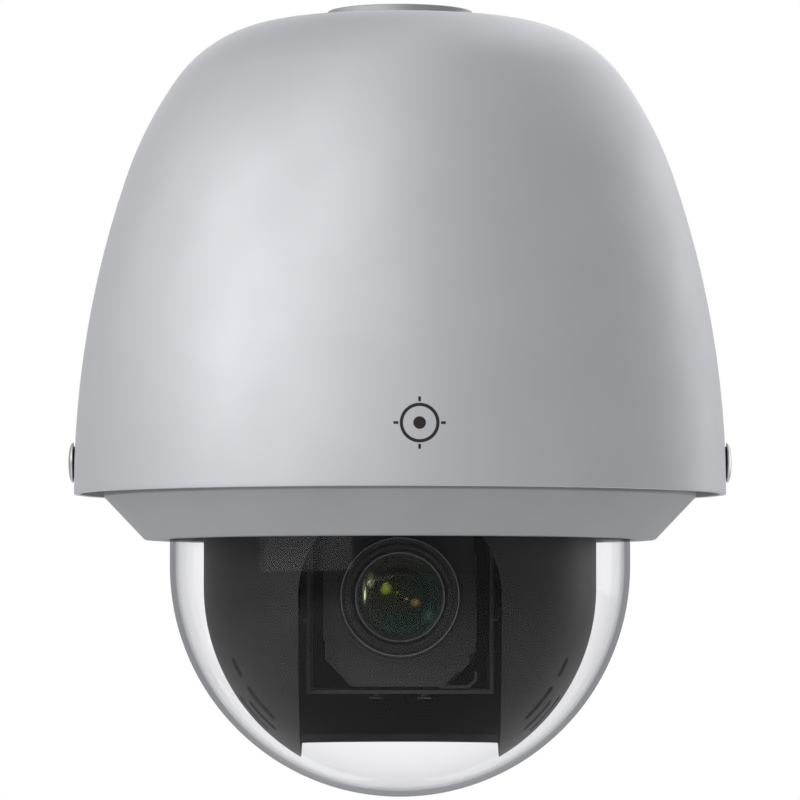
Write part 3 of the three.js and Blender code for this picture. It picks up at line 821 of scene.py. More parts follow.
class Frame:
    """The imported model: where its nodes are, what they ride on and which finish each one has."""

    def __init__(self) -> None:
        """Loads the model and makes its finishes."""
        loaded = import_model()
        self.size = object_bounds()
        self.nodes: dict[str, Piece] = loaded["nodes"]
        self.slots = {name: node.data.materials[0].name for name, node in self.nodes.items()}
        bodies = loaded["record"]["behaviour"]["bodies"]
        self.bodies = {node: body for body, nodes in bodies.items() for node in nodes}
        self.finishes = {slot: FINISHES[slot].make("finish_" + slot) for slot in set(self.slots.values())}

    def low(self, node: str) -> Vector:
        """A node's lowest corner."""
        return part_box(node)[0] / MM

    def high(self, node: str) -> Vector:
        """A node's highest corner."""
        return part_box(node)[1] / MM

    def span(self, node: str) -> tuple[float, float]:
        """A node's lowest and highest place up the pan axis."""
        return self.low(node).z, self.high(node).z

    def seat(self, work: Workpiece, name: str, *nodes: str, finish: bpy.types.Material | None = None) -> Piece:
        """Finishes a piece and puts it in place of CAD nodes.

        Args:
            work: the piece on the bench.
            name: its name.
            nodes: the nodes that it stands for, the first of which gives its body and slot.
            finish: its material, where it isn't its slot's own.

        Returns:
            The finished piece.
        """
        piece = work.done(name)
        slot = self.slots[nodes[0]]
        piece.data.materials.clear()
        piece.data.materials.append(finish or self.finishes[slot])
        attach(piece, self.bodies[nodes[0]])
        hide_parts(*nodes)
        LOG.info("%s stands for %s", name, ", ".join(nodes))
        return piece

    def dress_rest(self) -> None:
        """Gives every CAD node that still shows the finish of its slot."""
        for name, node in self.nodes.items():
            if not node.hide_render:
                node.material_slots[0].material = self.finishes[self.slots[name]]
                LOG.info("%s keeps its CAD shape", name)

    def write_sizes(self) -> None:
        """Updates the view layer."""
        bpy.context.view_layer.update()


# ---------------------------------------------------------------- the studio


@dataclass
class Softbox:
    """A rectangular lamp that faces the object."""

    azimuth: float
    elevation: float
    width: float
    height: float
    radiance: float
    distance: float = 2.4

    def light(self, target: Place) -> None:
        """Hangs the lamp.

        Args:
            target: the point that it faces, in metres.
        """
        lamp = bpy.data.lights.new("softbox", "AREA")
        lamp.shape = "RECTANGLE"
        lamp.size = self.width
        lamp.size_y = self.height
        lamp.energy = self.radiance * self.width * self.height * math.pi
        across, up = math.radians(self.azimuth), math.radians(self.elevation)
        away = Vector((math.sin(across) * math.cos(up), -math.cos(across) * math.cos(up), math.sin(up)))
        rig = bpy.data.objects.new("softbox", lamp)
        rig.location = Vector(target) + away * self.distance
        rig.rotation_euler = away.to_track_quat("Z", "Y").to_euler()
        rig.visible_camera = False
        bpy.context.scene.collection.objects.link(rig)


@dataclass
class Studio:
    """A pale floor, a white surround, soft lamps and the camera, in metres."""

    target: Place = (0.0, 0.0, -0.15)
    eye: Place = (0.0, -2.038, -0.241)
    pitch: float = 92.56
    lens: float = 238.5
    sensor: float = 36.0
    ambient: float = 0.50
    floor_height: float = -0.95
    floor_radius: float = 9.0
    key: float = 16.0
    low: float = 1.25
    front: float = 2.4
    side: float = 1.2
    rim: float = 1.9
    top: float = 1.0

    def boxes(self) -> list[Softbox]:
        """A key strip at the left, a low box under it, and big boxes in front, at the side, behind and above."""
        groups = (
            (self.front, ((-45.0, 24.0), (-15.0, 24.0), (-30.0, 50.0))),
            (self.side, ((-105.0, 24.0), (-165.0, 24.0))),
            (self.rim, ((130.0, 5.0), (135.0, 24.0), (165.0, 24.0), (150.0, 50.0))),
            (self.top, ((0.0, 88.0),)),
        )
        big = [Softbox(*place, 0.9, 1.0, level) for level, places in groups for place in places]
        return [Softbox(-70.0, 22.0, 0.25, 0.8, self.key), Softbox(-48.0, 4.0, 2.2, 0.7, self.low), *big]

    def build(self) -> None:
        """Sets up the view, the surround, the floor and the lamps."""
        scene = bpy.context.scene
        scene.view_settings.view_transform = "Standard"
        camera = bpy.data.objects.new("camera", bpy.data.cameras.new("camera"))
        camera.location = self.eye
        camera.rotation_euler = (math.radians(self.pitch), 0.0, 0.0)
        camera.data.lens = self.lens
        camera.data.sensor_width = self.sensor
        scene.collection.objects.link(camera)
        scene.camera = camera
        self._surround()
        self._floor()
        for box in self.boxes():
            box.light(self.target)

    def _surround(self) -> None:
        """A backdrop that looks white and lights the object as a dim studio does."""
        world = bpy.data.worlds.new("surround")
        world.use_nodes = True
        tree = world.node_tree
        tree.nodes.clear()
        path = tree.nodes.new("ShaderNodeLightPath")
        mix = tree.nodes.new("ShaderNodeMixShader")
        tree.links.new(path.outputs["Is Camera Ray"], mix.inputs[0])
        for socket, strength in ((1, self.ambient), (2, 1.0)):
            background = tree.nodes.new("ShaderNodeBackground")
            background.inputs["Color"].default_value = (1.0, 1.0, 1.0, 1.0)
            background.inputs["Strength"].default_value = strength
            tree.links.new(background.outputs[0], mix.inputs[socket])
        out = tree.nodes.new("ShaderNodeOutputWorld")
        tree.links.new(mix.outputs[0], out.inputs["Surface"])
        bpy.context.scene.world = world

    def _floor(self) -> None:
        """A plain pale floor well under the object."""
        bpy.ops.object.select_all(action="DESELECT")
        at = (0.0, 0.0, self.floor_height)
        bpy.ops.mesh.primitive_circle_add(vertices=96, radius=self.floor_radius, fill_type="NGON", location=at)
        floor = bpy.context.active_object
        floor.name = "floor"
        graph = Graph("floor")
        tone = graph.noise(graph.place(), 0.004, 2.0)
        floor.data.materials.append(
            graph.principled(Base_Color=graph.mix(tone, (0.88,) * 3, (0.92,) * 3), Roughness=0.8)
        )
        floor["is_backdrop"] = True


# ---------------------------------------------------------------- the casing


@dataclass
class Bell:
    """The sun shield's outline, a chain of tangent arcs about the pan axis.

    A heading is the angle below level of the outline's tangent, in degrees.
    """

    start: Point = (28.6, -3.1)
    heading: float = 4.0
    arcs: tuple[Point, ...] = ((467.0, 6.6), (52.0, 55.0), (150.0, 71.3), (372.0, 90.0))
    step: float = 1.5

    def line(self, inset: float, bottom: float) -> list[Point]:
        """The outline moved inwards.

        Args:
            inset: how far.
            bottom: the height where it stops.

        Returns:
            Its points, from the top down.
        """
        (r, z), heading = self.start, self.heading
        points: list[Point] = []
        for radius, end in self.arcs:
            first = math.radians(heading)
            centre = (r - radius * math.sin(first), z - radius * math.cos(first))
            steps = max(1, round((end - heading) / self.step))
            line = arc(centre, radius - inset, 90 - heading, 90 - end, steps)
            points += line[1:] if points else line
            (r, z), heading = arc(centre, radius, 90 - end, 90 - end, 1)[0], end
        kept = [point for point in points if point[1] > bottom]
        (r0, z0), (r1, z1) = kept[-1], points[min(len(kept), len(points) - 1)]
        share = (z0 - bottom) / (z0 - z1) if z0 > z1 else 0.0
        return [*kept, (r0 + (r1 - r0) * share, bottom)]


@dataclass
class Casing:
    """The sun shield, the collar on the pipe, the housing and what fastens them."""

    frame: Frame
    bell: Bell = field(default_factory=Bell)
    wall: float = 2.5
    hem: float = 0.3
    drop: float = 0.55
    screw_circle: float = 34.0
    screw_angles: tuple[float, ...] = (90.0, 210.0, 330.0)
    side_screw_height: float = -174.0
    flat_seat: float = 124.4
    housing_inset: float = 14.0
    rib_circle: float = 94.2

    def build(self) -> None:
        """Builds every piece of the casing."""
        self.shield()
        self.collar()
        self.housing()
        self.side_screws()
        self.collar_screws()
        self.seals()

    def shield(self) -> None:
        """The bell-shaped sun shield, with a rolled hem and a flat seat for each side screw."""
        rim = self.frame.low("sun_shield").z - self.drop
        outer = self.bell.line(0.0, rim + self.hem)
        inner = self.bell.line(self.wall, rim + self.hem)
        edge = outer[-1][0]
        bore = inner[-1][0]
        hem = outline((edge, 0.0), (edge, rim, self.hem), (bore, rim, self.hem), (bore, 0.0))[1:-1]
        work = Workpiece.turned([*outer[:-1], *hem, *inner[:-1][::-1]], 192)
        for axis in (Axis.LEFT, Axis.RIGHT):
            centre = (0.0, 0.0, self.side_screw_height)
            seat = Workpiece.rod(6.8, self.flat_seat, 140.0, axis, centre, 64)
            hole = Workpiece.rod(2.8, 100.0, 140.0, axis, centre)
            work.cut(seat, hole)
        self.frame.seat(work, "shield_bell", "sun_shield")

    def collar(self) -> None:
        """The threaded collar, with its flange inside the shield."""
        low = self.frame.low("mount_collar").z
        pitch, depth = 2.2, 0.75
        thread: list[Point] = []
        for k in range(9):
            crest = low + 2.0 + pitch * k
            thread += [(22.5, crest - 0.25), (22.5, crest + 0.25), (22.5 + depth, crest + pitch / 2)]
        profile = outline(
            (23.6, 0.0, 0.3), (27.7, 0.0, 0.2), (28.0, -0.3, 0.2), (28.0, -10.5, 0.9), (40.0, -10.5, 0.7),
            (40.0, -14.9, 0.5), (24.1, -14.9, 0.3), (24.1, low, 0.5), (23.2, low), (22.5, low + 0.9),
        )
        work = Workpiece.turned([*profile, *thread], 160)
        for angle in self.screw_angles:
            x, y = around(self.screw_circle, angle)
            work.cut(Workpiece.rod(2.1, -20.0, -8.0, centre=(x, y, 0.0)))
        self.frame.seat(work, "pipe_collar", "mount_collar")

    def housing(self) -> None:
        """The inner housing under the shield, with ribs for the dome ring's screws and side bosses."""
        bottom = self.frame.low("housing_shell").z
        land, wall = 45.0, self.wall
        outer = [p for p in self.bell.line(self.housing_inset, bottom) if p[0] > land + 1]
        inner = [p for p in self.bell.line(self.housing_inset + wall, bottom) if p[0] > land + 1]
        top = [(24.5, -17.4), (land, -17.4)]
        under = [(land, -20.5), (24.5, -20.5)]
        work = Workpiece.turned([*top, *outer, *inner[::-1], *under], 144)
        core = [p for p in self.bell.line(self.housing_inset + 1.0, bottom) if p[0] > land + 1]
        for angle in self.screw_angles:
            turn = (0.0, 0.0, math.radians(angle))
            room = Workpiece.turned([(0.0, -20.0), (land, -20.0), *core, (0.0, bottom)], 96)
            rib = Workpiece.box((90.5, -4.0, bottom), (120.0, 4.0, -150.3), 0.8).turn(turn)
            rib._combine("INTERSECT", [room])
            work.weld(rib)
            x, y = around(self.rib_circle, angle)
            u, v = around(self.screw_circle, angle)
            bolt = Workpiece.rod(1.9, bottom - 5, -145.0, centre=(x, y, 0.0))
            work.cut(bolt, Workpiece.rod(2.1, -30.0, 0.0, centre=(u, v, 0.0)))
        for axis in (Axis.LEFT, Axis.RIGHT):
            centre = (0.0, 0.0, self.side_screw_height)
            work.weld(Workpiece.rod(4.9, 109.4, 121.4, axis, centre, 48, 0.4))
            work.cut(Workpiece.rod(2.6, 111.4, 123.0, axis, centre))
        self.frame.seat(work, "inner_housing", "housing_shell")

    def side_screws(self) -> None:
        """The two domed screws that hold the shield to the housing, each on a rubber washer."""
        centre = (0.0, 0.0, self.side_screw_height)
        for side, axis in (("left", Axis.LEFT), ("right", Axis.RIGHT)):
            washer = Workpiece.pipe(2.8, 6.15, 124.6, 125.4, axis, centre, 0.25)
            self.frame.seat(washer, f"side_washer_{side}", f"shield_washer_{side}")
            head = [(7.7, 125.6, 0.15), (7.7, 126.25, 0.2), (5.6, 127.05, 3.0), (3.0, 127.4, 2.0)]
            profile = outline((0, 111.6), (2.0, 111.6), (2.4, 112.2), (2.4, 125.6), *head, (0, 127.4))
            work = Workpiece.turned(profile, 72, axis, centre)
            hexagon = arc((0.0, 0.0), 2.3, 0, 300, 5)
            work.cut(Workpiece.plate(hexagon, 126.0, 130.0, axis, centre))
            self.frame.seat(work, f"side_screw_{side}", f"shield_screw_{side}")

    def collar_screws(self) -> None:
        """The socket screws through the collar's flange."""
        for letter, angle in zip("abc", self.screw_angles):
            x, y = around(self.screw_circle, angle)
            screw = socket_screw(3.0, -10.2, 2.2, 1.8, -21.0, (x, y, 0.0))
            self.frame.seat(screw, f"flange_screw_{letter}", f"collar_screw_{letter}")

    def seals(self) -> None:
        """The rubber seals at the collar and under the housing."""
        low, high = self.frame.span("collar_seal")
        seal = Workpiece.pipe(25.0, 39.0, low, high, edge=0.4)
        for angle in self.screw_angles:
            x, y = around(self.screw_circle, angle)
            seal.cut(Workpiece.rod(2.1, -30.0, 0.0, centre=(x, y, 0.0)))
        self.frame.seat(seal, "flange_seal", "collar_seal")
        low, high = self.frame.span("housing_gasket")
        self.frame.seat(Workpiece.pipe(107.6, 110.4, low, high, edge=0.4), "rim_gasket", "housing_gasket")


def socket_screw(
    head: float, seat: float, height: float, shank: float, tip: float, centre: Place, axis: Axis = Axis.UP
) -> Workpiece:
    """Makes a screw with a round head, a hexagon socket and a threaded shank.

    Args:
        head: the head's radius.
        seat: the height of the head's underside.
        height: the head's height.
        shank: the shank's radius.
        tip: the height of the shank's end.
        centre: where the screw's axis is.
        axis: which way the head points.

    Returns:
        The screw.
    """
    pitch = 0.7
    turns = max(3, int((seat - tip - 1.5) / pitch))
    ridges: list[Point] = []
    for k in range(turns):
        at = tip + 0.6 + pitch * k
        ridges += [(shank * 0.84, at), (shank, at + pitch / 2)]
    top = seat + height
    crown = outline((head, seat, 0.1), (head, top, 0.4), (0.0, top), (0.0, seat), steps=3)[:-2]
    work = Workpiece.turned([(0.0, tip), (shank * 0.7, tip), *ridges, (shank * 0.9, seat), *crown, (0.0, top)], 32)
    work.cut(Workpiece.plate(arc((0.0, 0.0), head * 0.52, 0, 300, 5), top - height * 0.6, top + 1.0))
    return work.put(axis, centre)


# ---------------------------------------------------------------- the dome


@dataclass
class Dome:
    """The ring, the clear bubble and what seals and clamps it."""

    frame: Frame
    bubble_centre: float = -213.8
    bubble_radius: float = 88.4
    bubble_wall: float = 3.0
    ring_screw_circle: float = 94.2
    ring_screw_angles: tuple[float, ...] = (90.0, 210.0, 330.0)

    def build(self) -> None:
        """Builds every piece of the dome."""
        self.ring()
        self.bubble()
        self.seals()

    def ring(self) -> None:
        """The ring's conical skirt, with a pocket inside to save weight."""
        low, high = self.frame.span("dome_ring")
        profile = outline(
            (89.0, low, 0.6), (98.0, low, 1.7), (113.7, -187.3, 1.2), (113.7, high, 0.5), (107.4, high, 0.3),
            (107.4, -188.5, 0.8), (98.4, -194.5, 0.8), (98.4, high, 0.3), (91.4, high, 0.3),
            (91.4, -193.3, 0.2), (89.0, -193.3, 0.3),
        )
        work = Workpiece.turned(profile, 192)
        for letter, angle in zip("abc", self.ring_screw_angles):
            x, y = around(self.ring_screw_circle, angle)
            work.cut(Workpiece.rod(1.9, low - 1, high + 1, centre=(x, y, 0.0)))
            work.cut(Workpiece.rod(3.2, low - 1, low + 3.0, centre=(x, y, 0.0)))
            screw = socket_screw(2.9, 201.1, 2.4, 1.6, 147.6, (x, y, 0.0), Axis.DOWN)
            self.frame.seat(screw, f"ring_screw_{letter}", f"dome_ring_screw_{letter}")
        self.frame.seat(work, "bubble_ring", "dome_ring")

    def bubble(self) -> None:
        """The clear bubble: a hemisphere under a short straight neck with a flange."""
        low, high = self.frame.span("dome_bubble")
        centre = (0.0, self.bubble_centre)
        outer = arc(centre, self.bubble_radius, 0, -90, 56)
        inner = arc(centre, self.bubble_radius - self.bubble_wall, -90, 0, 56)
        outer[-1], inner[0] = (0.0, low), (0.0, low + self.bubble_wall)
        shoulder = [(91.0, high), (91.0, -193.0), (88.9, -193.0), (88.4, -193.5)]
        neck = self.bubble_radius - self.bubble_wall
        shell = [(0.0, low), *outer[:-1][::-1], *shoulder[::-1], (neck, high), *inner[::-1][:-1], (0.0, low + 3.0)]
        self.frame.seat(Workpiece.turned(shell, 192), "bubble", "dome_bubble")

    def seals(self) -> None:
        """The bubble's gasket and the ring that clamps it."""
        low, high = self.frame.span("dome_gasket")
        self.frame.seat(Workpiece.pipe(87.2, 91.0, low, high, edge=0.7), "bubble_gasket", "dome_gasket")
        low, high = self.frame.span("dome_clamp_ring")
        clamp = Workpiece.pipe(84.0, 91.0, low, high, edge=0.5, steps=144)
        self.frame.seat(clamp, "bubble_clamp", "dome_clamp_ring")


# ---------------------------------------------------------------- the shroud


@dataclass
class Shroud:
    """The black liner that turns with the camera inside the bubble, with a slot for the lens."""

    frame: Frame
    centre: float = -221.9
    radius: float = 75.4
    wall: float = 2.5
    flange: float = 66.0
    tilt_height: float = -226.0
    slot: float = 38.0
    slot_end: float = 45.4
    fillet: float = 3.0
    vents: tuple[Place, ...] = (
        (-30.5, 40.0, 8.0), (-30.5, 26.5, 4.0), (-23.0, 43.0, 7.5), (-15.5, 41.0, 9.0), (-8.0, 41.0, 9.0),
    )

    def build(self) -> None:
        """Turns the liner, then cuts its slot and its vents."""
        low, top = self.frame.span("shroud")
        outer = arc((0.0, self.centre), self.radius, -90, 0, 48)
        inner = arc((0.0, self.centre), self.radius - self.wall, 0, -90, 48)
        outer[0], inner[-1] = (0.0, self.centre - self.radius), (0.0, self.centre - self.radius + self.wall)
        head = outline(
            (self.radius, self.centre), (self.radius, top, 1.2), (self.flange, top, 0.4),
            (self.flange, top - 3.0, 0.4), (self.radius - self.wall, top - 3.0, 1.0),
            (self.radius - self.wall, self.centre),
        )[1:-1]
        work = Workpiece.turned([*outer, *head, *inner], 192)
        work.cut(self._window(), self._trough(), *self._vents())
        self.frame.seat(work, "liner", "shroud")

    def _window(self) -> Workpiece:
        """The round-topped cutter for the front of the slot."""
        foot = self.centre - self.radius - 10.0 - self.tilt_height
        flat = [(-self.slot, foot), (self.slot, foot), *arc((0.0, 0.0), self.slot, 0, 180, 64)]
        return Workpiece.plate(flat, 0.0, 100.0, Axis.FORWARD, (0.0, 0.0, self.tilt_height))

    def _trough(self) -> Workpiece:
        """The cutter for the stretch of slot that runs under and behind."""
        slot, end, fillet = self.slot, self.slot_end, self.fillet
        corner = math.degrees(math.acos(slot / end))
        back = arc((0.0, 0.0), end, corner + 4.0, 176.0 - corner, 40)
        side = math.sqrt(end * end - slot * slot)
        rounded = outline((slot, -76.0), (slot, side, fillet), back[0])[1:-1]
        flat = [(-slot, -76.0), (slot, -76.0), *rounded, *back, *[(-x, y) for x, y in rounded[::-1]]]
        return Workpiece.plate(flat, self.centre - self.radius - 10.0, self.centre - 20.0)

    def _vents(self) -> list[Workpiece]:
        """The cutters for the slanted vents in both cheeks."""
        vents: list[Workpiece] = []
        for side in (-1.0, 1.0):
            for across, below, half in self.vents:
                flat = outline((-half, -1.5, 1.4), (half, -1.5, 1.4), (half, 1.5, 1.4), (-half, 1.5, 1.4))
                bar = Workpiece.plate(flat, 55.0, 90.0)
                tilt = math.radians(90.0 + below) * side
                vents.append(bar.turn((0.0, tilt, 0.0), (0.0, across, self.centre)))
        return vents


# ---------------------------------------------------------------- the camera module


@dataclass
class Module:
    """The zoom camera in its cradle, on the tilt axis."""

    frame: Frame
    height: float = -226.0

    @property
    def axis(self) -> Place:
        """The tilt axis's middle."""
        return (0.0, 0.0, self.height)

    def build(self) -> None:
        """Builds every piece of the module."""
        self.cradle()
        self.block()
        self.front_plate()
        self.barrel()
        self.lenses()

    def cradle(self) -> None:
        """The U-shaped cradle, with two small feet under its floor."""
        h = self.height
        floor = Workpiece.box((-35.4, -30.0, h - 36.5), (35.4, 26.0, h - 35.1))
        left = Workpiece.box((-35.4, -30.0, h - 36.5), (-34.0, 26.0, h + 20.0))
        right = Workpiece.box((34.0, -30.0, h - 36.5), (35.4, 26.0, h + 20.0))
        floor.weld(left, right)
        floor.bevel(0.5, 3)
        for x in (-9.2, 9.2):
            foot = outline((0, -1.9), (2.6, -1.9, 0.3), (2.6, -1.2, 0.3), (1.1, -1.0, 0.2), (1.1, 0.5), (0, 0.5))
            floor.weld(Workpiece.turned(foot, 40, centre=(x, -27.0, h - 36.5)))
        self.frame.seat(floor, "cradle", "tilt_cradle")

    def block(self) -> None:
        """The camera block's case, open in front, with chamfered lower edges and a rear vent grid."""
        h = self.height
        flat = outline(
            (-17.5, -34.0, 0.8), (17.5, -34.0, 0.8), (28.0, -23.5, 0.8), (28.0, 32.0, 1.0), (-28.0, 32.0, 1.0),
            (-28.0, -23.5, 0.8),
        )
        inner = [(x * 0.92, z * 0.93) for x, z in flat]
        case = Workpiece.plate(flat, -28.0, 29.7, Axis.FORWARD, self.axis)
        case.cut(Workpiece.plate(inner, -25.8, 31.0, Axis.FORWARD, self.axis))
        for k in range(7):
            x = -18.0 + 6.0 * k
            case.cut(Workpiece.box((x - 1.2, 20.0, h + 6.0), (x + 1.2, 32.0, h + 22.0), 0.5))
        self.frame.seat(case, "block_case", "camera_block")

    def front_plate(self) -> None:
        """The block's front plate: stepped edges, a clip at its lower left and a hook at its lower right."""
        edge = outline(
            (-18.6, -33.6, 0.4), (16.4, -33.6, 0.4), (20.6, -29.2, 0.4), (23.4, -27.6, 0.3), (26.0, -25.0, 0.3),
            (26.0, -21.4, 0.3), (28.6, -20.8, 0.3), (28.6, -17.2, 0.3), (29.0, -16.8, 0.2), (29.0, 16.6, 0.3),
            (27.8, 17.0, 0.3), (27.8, 33.0, 1.0), (-29.0, 33.0, 1.0), (-29.0, -16.0, 0.3), (-28.4, -16.4, 0.2),
            (-28.4, -23.4, 0.3), (-22.0, -29.8, 0.3), steps=3,
        )
        plate = Workpiece.plate(edge, 30.0, 33.0, Axis.FORWARD, self.axis)
        plate.cut(Workpiece.rod(20.6, 20.0, 40.0, Axis.FORWARD, self.axis, 128))
        plate.bevel(0.35, 2, 50.0)
        plate.weld(Workpiece.pipe(22.9, 24.3, 32.5, 33.6, Axis.FORWARD, self.axis, 0.3, 128))
        hook = outline(
            (15.0, -34.4, 0.2), (26.0, -34.4, 2.4), (29.2, -31.5, 1.0), (29.2, -28.0, 0.3), (28.1, -28.0, 0.3),
            (28.1, -31.0, 1.0), (25.6, -33.2, 1.6), (15.0, -33.2, 0.2), steps=3,
        )
        plate.weld(Workpiece.plate(hook, 30.4, 32.6, Axis.FORWARD, self.axis))
        self.frame.seat(plate, "front_cover", "camera_front_plate")

    def barrel(self) -> None:
        """The lens barrel, with ridged walls in front of the glass."""
        profile = outline(
            (17.6, -12.0, 0.3), (20.3, -12.0, 0.3), (20.3, 33.6), (21.6, 33.6, 0.2), (21.6, 45.0, 0.3),
            (22.7, 46.0, 0.3), (22.7, 50.6, 0.1), (22.3, 50.9, 0.1), (22.3, 51.7, 0.1), (22.7, 52.0, 0.1),
            (22.7, 55.0, 0.7), (21.3, 55.0, 0.3), (21.0, 54.5, 0.2), (20.2, 54.5, 0.2), (19.6, 54.9, 0.2),
            (18.2, 54.9, 0.4), (17.2, 52.8, 0.2), (17.2, 45.5), (14.6, 45.5, 0.3), (14.6, 43.0, 0.2),
            (17.6, 43.0), steps=4,
        )
        work = Workpiece.turned(profile, 144, Axis.FORWARD, self.axis)
        self.frame.seat(work, "barrel", "lens_barrel")
        band = Workpiece.pipe(21.9, 22.3, 55.05, 55.35, Axis.FORWARD, self.axis, 0.1, 128)
        self.frame.seat(band, "barrel_band", "lens_barrel", finish=self.frame.finishes["lens_ring"])
        ring = outline(
            (15.7, 49.1), (16.9, 49.1), (16.9, 52.3, 0.2), (16.4, 52.3, 0.2), (15.9, 51.2, 0.2), steps=3
        )
        retainer = Workpiece.turned(ring, 128, Axis.FORWARD, self.axis)
        self.frame.seat(retainer, "retainer", "lens_retaining_ring")

    def lenses(self) -> None:
        """The glass, and the black cells of the elements behind the front one."""
        # The glints here are painted reflections: patches fixed to the glass that mirror more strongly, placed where
        # lamp reflections show.
        front = CoatedGlass(
            (0.9, 1.0, 0.55), (0.3, 0.95, 0.75), strength=0.008,
            painted_glints=((-13.4, 1.8, 0.8, 5.4, 0.55), (-11.2, 6.6, 1.9, 3.4, 0.14), (11.2, -7.6, 2.2, 3.4, 0.05)),
        )
        self.frame.seat(self._front(), "front_element", "front_lens", finish=front.make("glass_front"))
        # painted reflections on the zoom element's glass: two spots and two small dots
        leaf = CoatedGlass(
            (0.85, 0.9, 0.12), (1.0, 0.55, 0.16), strength=0.01,
            painted_glints=(
                (-5.6, 3.4, 2.9, 2.9, 0.5), (5.8, -2.0, 2.3, 2.0, 0.35), (2.5, -0.6, 0.7, 0.7, 0.6),
                (-1.1, 1.8, 0.8, 0.8, 0.3),
            ),
        )
        self._group("zoom", "zoom_lens_group", 9.0, 31.0, 36.0, 1.0, leaf)
        amber = CoatedGlass((0.8, 0.6, 0.75), (1.0, 0.5, 0.12), strength=0.03)
        self._group("focus", "focus_lens_group", 7.2, -1.0, 3.6, 0.3, amber)
        rear = CoatedGlass((0.5, 0.3, 0.8), strength=0.05)
        self._group("rear", "rear_lens", 7.0, -11.5, -8.6, 0.4, rear)

    def _group(self, name: str, node: str, clear: float, low: float, high: float, crown: float, coat: CoatedGlass) -> None:
        """A lens element in a black cell.

        Args:
            name: the element's name.
            node: the CAD node that it stands for.
            clear: the glass's radius.
            low: the cell's rear face along the optical axis.
            high: the cell's front face.
            crown: how far the glass bulges from its rim, near the cell's front.
            coat: its coating.
        """
        cell = outline(
            (clear - 0.6, low, 0.3), (16.9, low, 0.3), (16.9, high, 0.3), (15.6, high, 0.3),
            (15.6, high - 1.2, 0.2), (clear + 2.2, high - 1.2, 0.2), (clear, high, 0.3), (clear - 0.6, high - 0.6, 0.1),
            steps=3,
        )
        ring = Workpiece.turned(cell, 96, Axis.FORWARD, self.axis)
        black = self.frame.finishes["lens_black"]
        self.frame.seat(ring, f"{name}_cell", node, finish=black)
        rim = high - 2.0
        dome = [(clear * math.cos(t), rim + crown * math.sin(t)) for t in self._quarter(16)]
        dome[-1] = (0.0, rim + crown)
        glass = [(0.0, rim - 1.6), (clear * 0.7, rim - 1.2), (clear, rim - 0.4), *dome]
        work = Workpiece.turned(glass, 96, Axis.FORWARD, self.axis)
        self.frame.seat(work, f"{name}_element", node, finish=coat.make(f"glass_{name}"))

    @staticmethod
    def _quarter(steps: int) -> list[float]:
        """Angles from 0 to a quarter turn."""
        return [math.pi / 2 * k / steps for k in range(steps)] + [math.pi / 2]

    def _front(self) -> Workpiece:
        """The front element: a full dome inside a flat seat."""
        rim, clear, crown = 48.8, 15.2, 52.3
        dome = [(clear * math.cos(t), rim + (crown - rim) * math.sin(t)) for t in self._quarter(28)]
        dome[-1] = (0.0, crown)
        back = [(0.0, 46.9), (6.0, 46.6), (11.0, 46.1), (14.0, 45.8), (16.8, 45.8), (16.8, rim)]
        return Workpiece.turned([*back, *dome], 128, Axis.FORWARD, self.axis)


# ---------------------------------------------------------------- gears and the yoke


@dataclass(frozen=True)
class Gear:
    """A spur gear with involute flanks, thinned a little for backlash."""

    teeth: int
    module: float
    tooth_share: float = 0.21
    pressure: float = math.radians(20.0)

    @property
    def pitch(self) -> float:
        """The pitch circle's radius."""
        return self.teeth * self.module / 2

    def flat(self, tooth_first: bool) -> list[Point]:
        """The toothed outline.

        Args:
            tooth_first: whether a tooth faces +X, and not a gap.

        Returns:
            The outline's points.
        """
        base = self.pitch * math.cos(self.pressure)
        root, tip = self.pitch - 1.1 * self.module, self.pitch + 0.8 * self.module
        radii = [root, *(max(base, root) + (tip - max(base, root)) * k / 4 for k in range(5))]
        turn = 360.0 / self.teeth
        first = 0.0 if tooth_first else turn / 2
        flank = [(r, self._half_tooth(max(r, base), base)) for r in radii]
        points: list[Point] = []
        for k in range(self.teeth):
            middle = first + k * turn
            points += [around(r, middle - half) for r, half in flank]
            points += [around(r, middle + half) for r, half in flank[::-1]]
        return points

    def _half_tooth(self, radius: float, base: float) -> float:
        """Half a tooth's angle at a radius, in degrees."""
        slope = math.acos(base / radius)
        spread = (math.tan(slope) - slope) - (math.tan(self.pressure) - self.pressure)
        return self.tooth_share * 360.0 / self.teeth - math.degrees(spread)


